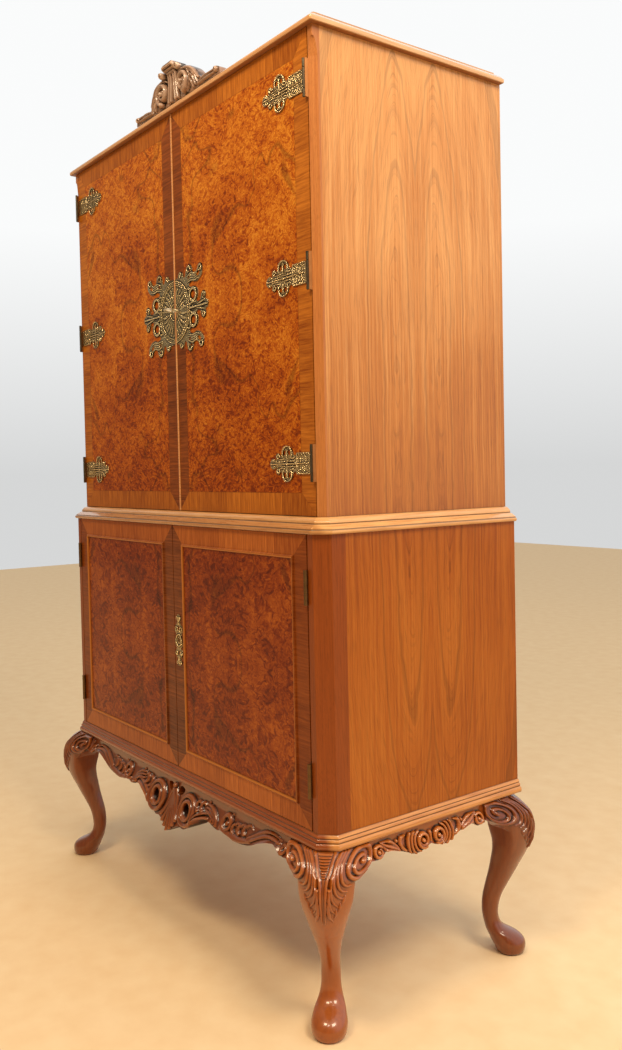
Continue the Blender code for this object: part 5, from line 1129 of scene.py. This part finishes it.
def strap_strokes():
    tongue = bend([(0.069, 0.006), (0.0705, 0.013), (0.07, 0.0215)])
    half = [full(arc((0.0695, 0.016), 0.0122, -25, 205, 40), 0.0015, 0.0021, 0.0015, 0.0013),
            full(tongue, 0.0012, 0.0026, 0.0016, 0.0011),
            full(arc((0.0935, 0.0112), 0.004, 200, -120, 24, 0.55), 0.0012, 0.0017, 0.0011, 0.0013),
            full(arc((0.1045, 0.0052), 0.0026, 200, -90, 16, 0.6), 0.0009, 0.0013, 0.0009, 0.0012),
            dash((0.013, 0.0158), (0.0432, 0.0158), 0.001, 0.001)]
    for vein in (((0.048, 0.0105), (0.054, 0.0085), (0.062, 0.01)),
                 ((0.076, 0.0085), (0.083, 0.0065), (0.09, 0.007)),
                 ((0.048, 0.005), (0.06, 0.0042), (0.072, 0.0045)),
                 ((0.076, 0.004), (0.088, 0.003), (0.1, 0.0026))):
        half.append(full(bend(vein), 0.0008, 0.0012, 0.0008, 0.0009))
    for i in range(7):
        x = 0.0165 + 0.004 * i
        leaf = bend([(x, 0.001), (x + 0.0014, 0.0065), (x - 0.0006, 0.0122)])
        half += [full(leaf, 0.0006, 0.0013, 0.0006, 0.0009), dot(x + 0.0018, 0.0138, 0.0009, 0.0009)]
    spine = [dash((0.0432, -0.0158), (0.0432, 0.0158), 0.001, 0.001),
             dash((0.013, 0.0), (0.044, 0.0), 0.0009, 0.0012), dash((0.046, 0.0), (0.112, 0.0), 0.0013, 0.0012),
             dot(0.0695, 0.0, 0.003, 0.0014), dot(0.113, 0.0, 0.0017, 0.0013)]
    return both_rows(half) + spine


def both_rows(strokes):
    """Strokes repeated below the middle line."""
    return strokes + [([(a, -b) for a, b in path], widths, height) for path, widths, height in strokes]


def place_on_face(center, side, face, level):
    """Places a plate's points on an upright face towards the front."""
    return lambda a, b, h: (center + side * a, face - h, level + b)


plate_brass = aged_brass("aged chased brass", "#ffe8ba", "#e8c88e", "#33200e", 0.16, 0.26, 0.78)
barrel_brass = plain_brass("dark barrel brass", "#6f6250", "#4d4336", 0.32)
leaf_brass = plain_brass("brass leaf under polish", "#c08450", "#9c6236", 0.45)
door_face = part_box("upper_door_right")[0][1]
for side_name, side in (("left", -1), ("right", 1)):
    for level_name in ("low", "middle", "high"):
        node = "upper_hinge_" + side_name + "_" + level_name
        low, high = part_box(node + "_strap")
        axis_y = low[1] + STRAP_BARREL_RADIUS
        axis_x = side * (max(abs(low[0]), abs(high[0])) - STRAP_BARREL_RADIUS)
        level = (low[2] + high[2]) / 2
        plate = relief_plate("chased_" + node, strap_loops(), STRAP_STEP, chased(0.0012, strap_strokes(), 0.0027), 0,
                             place_on_face(axis_x, -side, door_face - GLUE_GAP, level), plate_brass, 40, 0.0007)
        knuckle = knuckle_profile(SLIM_BARREL_RADIUS, STRAP_PIN_HOLE, -STRAP_KNUCKLE, STRAP_KNUCKLE)
        barrel = lathe("barrel_" + node, knuckle, (axis_x, axis_y, level), barrel_brass)
        for piece in (plate, barrel):
            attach(piece, "upper_door_" + side_name)
            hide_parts(node + "_strap")
        leaf_low, leaf_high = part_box(node + "_leaf")
        half = (leaf_high[2] - leaf_low[2]) / 2
        outer = max(abs(leaf_low[0]), abs(leaf_high[0]))
        pin = [(0.0002, -half), (0.0008, -half), (STRAP_PIN_RADIUS, -half + 0.0005),
               (STRAP_PIN_RADIUS, half - 0.0005), (0.0008, half), (0.0002, half)]
        pieces = [lathe("pin_" + node, pin, (axis_x, axis_y, level), barrel_brass, 16)]
        for place_name, middle in (("foot", -1), ("head", 1)):
            span = sorted((middle * FRAME_KNUCKLE, middle * half))
            pieces.append(lathe(place_name + "_" + node, knuckle_profile(SLIM_BARREL_RADIUS, STRAP_PIN_RADIUS, *span),
                                (axis_x, axis_y, level), barrel_brass))
        plan = [(outer - 0.0015, axis_y), (outer - 0.0002, axis_y), (outer, axis_y + 0.0008), (outer, leaf_high[1]),
                (outer - 0.0015, leaf_high[1])]
        verts = [(side * a, b, level + c) for c in (-half, half) for a, b in plan]
        faces = [tuple(range(5)), tuple(range(5, 10))] + [(k, (k + 1) % 5, 5 + (k + 1) % 5, 5 + k) for k in range(5)]
        pieces.append(make_mesh("flap_" + node, verts, faces, leaf_brass, 30))
        for piece in pieces:
            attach(piece, "cabinet")
            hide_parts(node + "_leaf")

# Lock plates
# A round pierced and chased plate in two halves over the upper locks, with
# foliage and scrolls round an engraved disc, pinned to the doors.
LOCK_PLATE_EDGE = (
    (0.015, 0.06), (0.019, 0.067), (0.0245, 0.0695), (0.031, 0.068), (0.0355, 0.061), (0.0385, 0.057),
    (0.043, 0.061), (0.045, 0.069), (0.0495, 0.0755), (0.056, 0.078), (0.0625, 0.076), (0.067, 0.07),
    (0.069, 0.064), (0.076, 0.0612), (0.083, 0.0625), (0.0875, 0.069), (0.0935, 0.0738), (0.1, 0.0725),
    (0.104, 0.066), (0.1025, 0.056), (0.096, 0.049), (0.088, 0.0448), (0.078, 0.0436), (0.068, 0.0462),
    (0.06, 0.045), (0.055, 0.0415), (0.0585, 0.0375), (0.066, 0.0368), (0.074, 0.0372), (0.083, 0.0325),
    (0.0868, 0.024), (0.0855, 0.0165), (0.081, 0.011), (0.085, 0.0078), (0.092, 0.0082), (0.096, 0.013),
    (0.098, 0.02), (0.1035, 0.024), (0.1095, 0.0228), (0.113, 0.0175), (0.112, 0.011), (0.1135, 0.0075),
    (0.119, 0.0062), (0.1215, 0.0),
)
LOCK_LEVEL = UPPER_MATCH_HEIGHT
KEY_X = 0.017


def lock_plate_loops(inner):
    upper = [(inner, 0.0598)] + bend(LOCK_PLATE_EDGE, 0.0012)
    outline = upper + [(a, -b) for a, b in reversed(upper[:-1])]
    bottom, top = outline[-1][1], outline[0][1]
    count = int((top - bottom) / 0.0012)
    outline += [(inner, bottom + (top - bottom) * k / count) for k in range(1, count)]
    return with_holes(outline, ((0.069, 0.0225, 0.0078, 0.007, 0.0), (0.0885, 0.057, 0.0062, 0.0034, 0.5),
                                (0.056, 0.0545, 0.0036, 0.0028, 0.6), (0.06, 0.0665, 0.003, 0.0024, 0.0),
                                (0.091, 0.015, 0.0016, 0.0024, 0.0), (0.105, 0.0155, 0.0026, 0.0024, 0.0)), 18)


def lock_plate_strokes():
    half = [even(arc((0.0, 0.0), radius, 0, 90, 60), width, 0.0009)
            for radius, width in ((0.056, 0.0011), (0.049, 0.0009), (0.015, 0.001))]
    for i in range(17):
        turn = math.radians(2.6 + 5.3 * i)
        half.append(dot(0.0525 * math.cos(turn), 0.0525 * math.sin(turn), 0.0017, 0.0008))
    for i in range(7):
        turn = math.radians(7 + 13 * i)
        ray = bend([(radius * math.cos(turn + more), radius * math.sin(turn + more))
                    for radius, more in ((0.0185, 0.0), (0.033, 0.05), (0.0455, 0.0))])
        half += [full(ray, 0.001, 0.0028, 0.0012, 0.0008), even(ray[3:-3], 0.0004, -0.0006)]
    for x, z, size, start, end in ((0.025, 0.064, 0.0046, 240, -60), (0.056, 0.069, 0.0066, 230, -110),
                                   (0.0955, 0.066, 0.0064, 220, -120), (0.106, 0.0165, 0.0052, 250, -60)):
        half.append(full(arc((x, z), size, start, end, 26, 0.5), 0.0014, 0.0021, 0.0012, 0.0014))
    half.append(even(arc((0.069, 0.0225), 0.0112, 20, 380, 44), 0.0026, 0.0014))
    for lift in (0.0, 0.0042, 0.0084, 0.0126):
        feather = bend([(0.05, 0.047 + lift * 0.8), (0.064, 0.049 + lift), (0.078, 0.0475 + lift * 0.9),
                        (0.09, 0.05 + lift * 1.2)])
        half.append(full(feather, 0.001, 0.0019, 0.0009, 0.0012))
    for vein in (((0.056, 0.004), (0.064, 0.009), (0.078, 0.0085)),
                 ((0.083, 0.003), (0.094, 0.005), (0.108, 0.008)),
                 ((0.045, 0.033), (0.053, 0.036), (0.058, 0.033))):
        half.append(full(bend(vein), 0.001, 0.0016, 0.001, 0.0011))
    return both_rows(half) + [dash((0.056, 0.0), (0.119, 0.0), 0.0016, 0.0014)]


lock_brass = aged_brass("deeply chased brass", "#fff0c4", "#f4d89e", "#22140a", 0.14, 0.4, 0.76)
for side_name, side in (("left", -1), ("right", 1)):
    node = "lock_plate_" + side_name
    low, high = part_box(node)
    inner = min(abs(low[0]), abs(high[0]))
    plate_holes = lock_plate_loops(inner)
    if side > 0:
        plate_holes.append(ellipse((KEY_X, 0.0), (0.0034, 0.0034), 20))
    plate = relief_plate("chased_" + node, plate_holes, 0.0011, chased(0.0011, lock_plate_strokes(), 0.003), 0,
                         place_on_face(0.0, side, door_face - GLUE_GAP, LOCK_LEVEL), lock_brass, 40, 0.0007)
    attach(plate, "upper_door_" + side_name)
    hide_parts(node)

# Lower escutcheon
# A narrow pierced foliate plate round the keyhole of the right lower door.
ESCUTCHEON_EDGE = (
    (0.0, 0.0475), (0.0035, 0.0468), (0.0062, 0.044), (0.0088, 0.0405), (0.007, 0.0365), (0.0048, 0.0335),
    (0.0065, 0.0298), (0.0105, 0.0268), (0.0135, 0.022), (0.0138, 0.0165), (0.0115, 0.013), (0.0088, 0.0108),
    (0.0098, 0.007), (0.0128, 0.002), (0.014, -0.004), (0.0128, -0.0092), (0.0095, -0.0125), (0.0072, -0.015),
    (0.0095, -0.018), (0.0128, -0.0215), (0.0132, -0.0265), (0.0105, -0.03), (0.0068, -0.0325),
    (0.0052, -0.0355), (0.008, -0.0385), (0.0102, -0.0415), (0.008, -0.045), (0.004, -0.047), (0.0, -0.0475),
)
low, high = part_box("escutcheon_lower")
half = bend(ESCUTCHEON_EDGE, 0.0009)
escutcheon_loops = [half + [(-a, b) for a, b in reversed(half[1:-1])],
                    ellipse((0.0, 0.0215), (0.0034, 0.0042), 16), ellipse((0.0, -0.0235), (0.0034, 0.0042), 16),
                    ellipse((0.0, 0.0), (0.0033, 0.005), 18)]
stem = ((0.001, 0.029), (0.0018, 0.035), (0.0004, 0.044))
foot = ((0.001, -0.031), (0.0018, -0.037), (0.0004, -0.044))
collar = ((0.0, 0.0105), (0.0065, 0.0075), (0.0098, 0.0), (0.0075, -0.008), (0.0, -0.0115))
strokes = [even(bend(collar), 0.0012, 0.0012),
           *(full(bend(path), 0.001, 0.0013, 0.0008, 0.0011) for path in (stem, foot))]
for x, z, size, start, end in ((0.008, 0.0205, 0.0046, 250, -70), (0.0085, -0.0245, 0.0042, 110, 430),
                               (0.0052, 0.0405, 0.0028, 250, -70), (0.0062, -0.0412, 0.0028, 110, 430)):
    strokes.append(full(arc((x, z), size, start, end, 22, 0.6), 0.001, 0.0014, 0.0009, 0.0012))
plate = relief_plate("chased_escutcheon_lower", escutcheon_loops, 0.0009,
                     chased(0.0011, both_sides(strokes), 0.0026), 0.0,
                     place_on_face((low[0] + high[0]) / 2, 1, high[1], (low[2] + high[2]) / 2),
                     plate_brass, 40, 0.0006)
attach(plate, "lower_door_right")
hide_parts("escutcheon_lower")

# Butt hinges, bolts and lock cases
# Plain drawn brass: dark on the hinges that show at the posts, brighter on the
# lock cases and bolts let into the edges of the doors.
butt_brass = plain_brass("dark butt hinge brass", "#8a6c48", "#5e452c", 0.38)
bolt_brass = plain_brass("plain lock brass", "#b59252", "#8d6d3a", 0.3)
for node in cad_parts:
    if node.startswith("lower_hinge"):
        dress(node, butt_brass)
for node in ("upper_bolt_top", "upper_bolt_bottom", "lower_bolt_top", "lock_case", "lower_lock_case", "lock_keep"):
    dress(node, bolt_brass)

# Key and steel bolts
# A turned steel key with an oval bow stands in the right upper lock; the lock
# bolts are plain steel bars.
bright_steel = plain_brass("worn bright steel", "#f6f3ea", "#d8d2c6", 0.22)
for node in ("lock_bolt", "lower_lock_bolt"):
    dress(node, bright_steel)
low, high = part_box("key")
bow_width, bow_length, bow_wire = 0.011, 0.01, 0.0022
bow_y = low[1] + bow_length
bow_profile = [(bow_wire * math.cos(t), 0.0014 * math.sin(t))
               for t in np.linspace(0, 2 * math.pi, 12, endpoint=False)]
verts = []
for turn in np.linspace(0, 2 * math.pi, 48, endpoint=False):
    verts += [(KEY_X + (bow_width - bow_wire + a) * math.cos(turn),
               bow_y + (bow_length - bow_wire + a) * math.sin(turn), LOCK_LEVEL + b) for a, b in bow_profile]
bow = make_mesh("key_bow", verts, ring_faces(48, 12, True), bright_steel, 60)
shaft_start = bow_y + bow_length - 0.0012
shaft_length = high[1] - shaft_start
shaft_profile = [(0.0002, 0.0), (0.0023, 0.0), (0.0036, 0.0008), (0.0036, 0.002), (0.0024, 0.0028),
                 (0.0032, 0.0036), (0.0032, 0.0044), (0.0022, 0.0052), (0.0022, shaft_length - 0.0004),
                 (0.0018, shaft_length), (0.0002, shaft_length)]
shaft = lathe("key_shaft", shaft_profile, (KEY_X, shaft_start, LOCK_LEVEL), bright_steel, 24, True)
bit_low = (KEY_X + 0.0015, high[1] - 0.005)
bit_high = (KEY_X + 0.0088, high[1] - 0.0006)
outline = [(0.0, 0.0), (0.0, 1.0), (1.0, 1.0), (1.0, 0.62), (0.62, 0.62), (0.62, 0.38), (1.0, 0.38), (1.0, 0.0)]
verts = [(bit_low[0] + a * (bit_high[0] - bit_low[0]), bit_low[1] + b * (bit_high[1] - bit_low[1]), z)
         for z in (LOCK_LEVEL - 0.0009, LOCK_LEVEL + 0.0009) for a, b in outline]
size = len(outline)
faces = [tuple(range(size))[::-1], tuple(range(size, 2 * size))] + ring_faces(2, size)
bit = make_mesh("key_bit", verts, faces, bright_steel, 30)
for piece in (bow, shaft, bit):
    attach(piece, "key")
    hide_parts("key")

# Meeting bead
# A slim polished walnut bead covers the gap between the upper doors.
dress("meeting_bead", moulded_walnut)

# Crest
# A carved crest glued along the middle of the cornice: a roll leaning forwards
# over two volutes, with ribbed leaves running out into low tails.
CREST_EDGE = (
    (0.0, 0.07), (0.01, 0.0692), (0.0175, 0.0655), (0.0205, 0.059), (0.03, 0.0595), (0.0365, 0.0555),
    (0.0385, 0.049), (0.05, 0.047), (0.062, 0.044), (0.074, 0.037), (0.083, 0.028), (0.089, 0.018),
    (0.096, 0.0125), (0.108, 0.0115), (0.12, 0.0125), (0.134, 0.015), (0.146, 0.015), (0.154, 0.011),
    (0.156, 0.005),
)
CREST_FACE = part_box("crest")[1][1] - 0.012
CREST_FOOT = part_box("crest")[0][2]
CREST_LEAN = 0.005
half_strokes = [
    full(arc((0.0375, 0.0235), 0.0185, -75, 470, 80, 0.28), 0.0052, 0.0046, 0.003, 0.013),
    dot(0.0385, 0.0235, 0.0056, 0.015),
    full(arc((0.0375, 0.0235), 0.0235, -60, 130, 40), 0.0012, 0.002, 0.0012, 0.008),
    even(arc((0.0295, 0.053), 0.0038, 0, 340, 18), 0.003, 0.0135),
    dot(0.0295, 0.053, 0.003, 0.015),
    full(arc((0.146, 0.0085), 0.0042, 170, -150, 20, 0.6), 0.0018, 0.0024, 0.0016, 0.0065),
]
for flute in (((0.032, 0.045), (0.053, 0.0435), (0.072, 0.0335), (0.087, 0.016)),
              ((0.056, 0.0375), (0.066, 0.034), (0.077, 0.024), (0.085, 0.009)),
              ((0.062, 0.029), (0.069, 0.025), (0.075, 0.017), (0.079, 0.006)),
              ((0.062, 0.019), (0.067, 0.016), (0.07, 0.011), (0.071, 0.004))):
    half_strokes.append(full(bend(flute), 0.0028, 0.004, 0.0022, 0.0085))
for x, lean in ((0.005, 0.003), (0.012, 0.005)):
    rib = bend([(x + lean, 0.003), (x + lean * 0.3, 0.024), (x, 0.05)])
    half_strokes.append(full(rib, 0.0034, 0.0036, 0.0028, 0.0075))
for lift in (0.0, 0.005):
    tail = bend([(0.086, 0.004 + lift * 0.6), (0.104, 0.005 + lift), (0.124, 0.0055 + lift),
                 (0.139, 0.006 + lift)])
    half_strokes.append(full(tail, 0.0022, 0.0028, 0.002, 0.005))
roll = [dash((-0.015, 0.061), (0.015, 0.061), 0.008, 0.015),
        dash((-0.012, 0.052), (0.012, 0.052), 0.0026, 0.008),
        dash((-0.016, 0.0642), (0.016, 0.0642), 0.0012, -0.0045),
        dash((-0.016, 0.058), (0.016, 0.058), 0.0012, -0.0045)]
crest_strokes = both_sides(half_strokes) + roll


def crest_front(points):
    carved = carve(crest_strokes, points)
    return 0.003 + carved, carved


def crest_place(a, b, h):
    t = min(max((b - 0.03) / 0.036, 0.0), 1.0)
    if h < 0:
        h *= 1 - 0.9 * t
    return a, CREST_FACE - h - CREST_LEAN * t * t * (3 - 2 * t), CREST_FOOT + b


upper = mirrored(bend(CREST_EDGE, 0.0014))
crest_loop = upper + [(a, 0.0) for a in np.linspace(0.156, -0.156, 180)]
# Greyer than the carving below: a painted reflection, with a near-white painted highlight on the high parts
crest_walnut = carved_wood("dark polished crest walnut", "#5a3c2c", "#bd967c", "#9a7660", "#e6cab4", 0.4)
crest = relief_plate("carved_crest", [crest_loop], 0.0014, crest_front, -0.012, crest_place, crest_walnut, 45, 0.0035)
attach(crest, "cabinet")
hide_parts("crest")
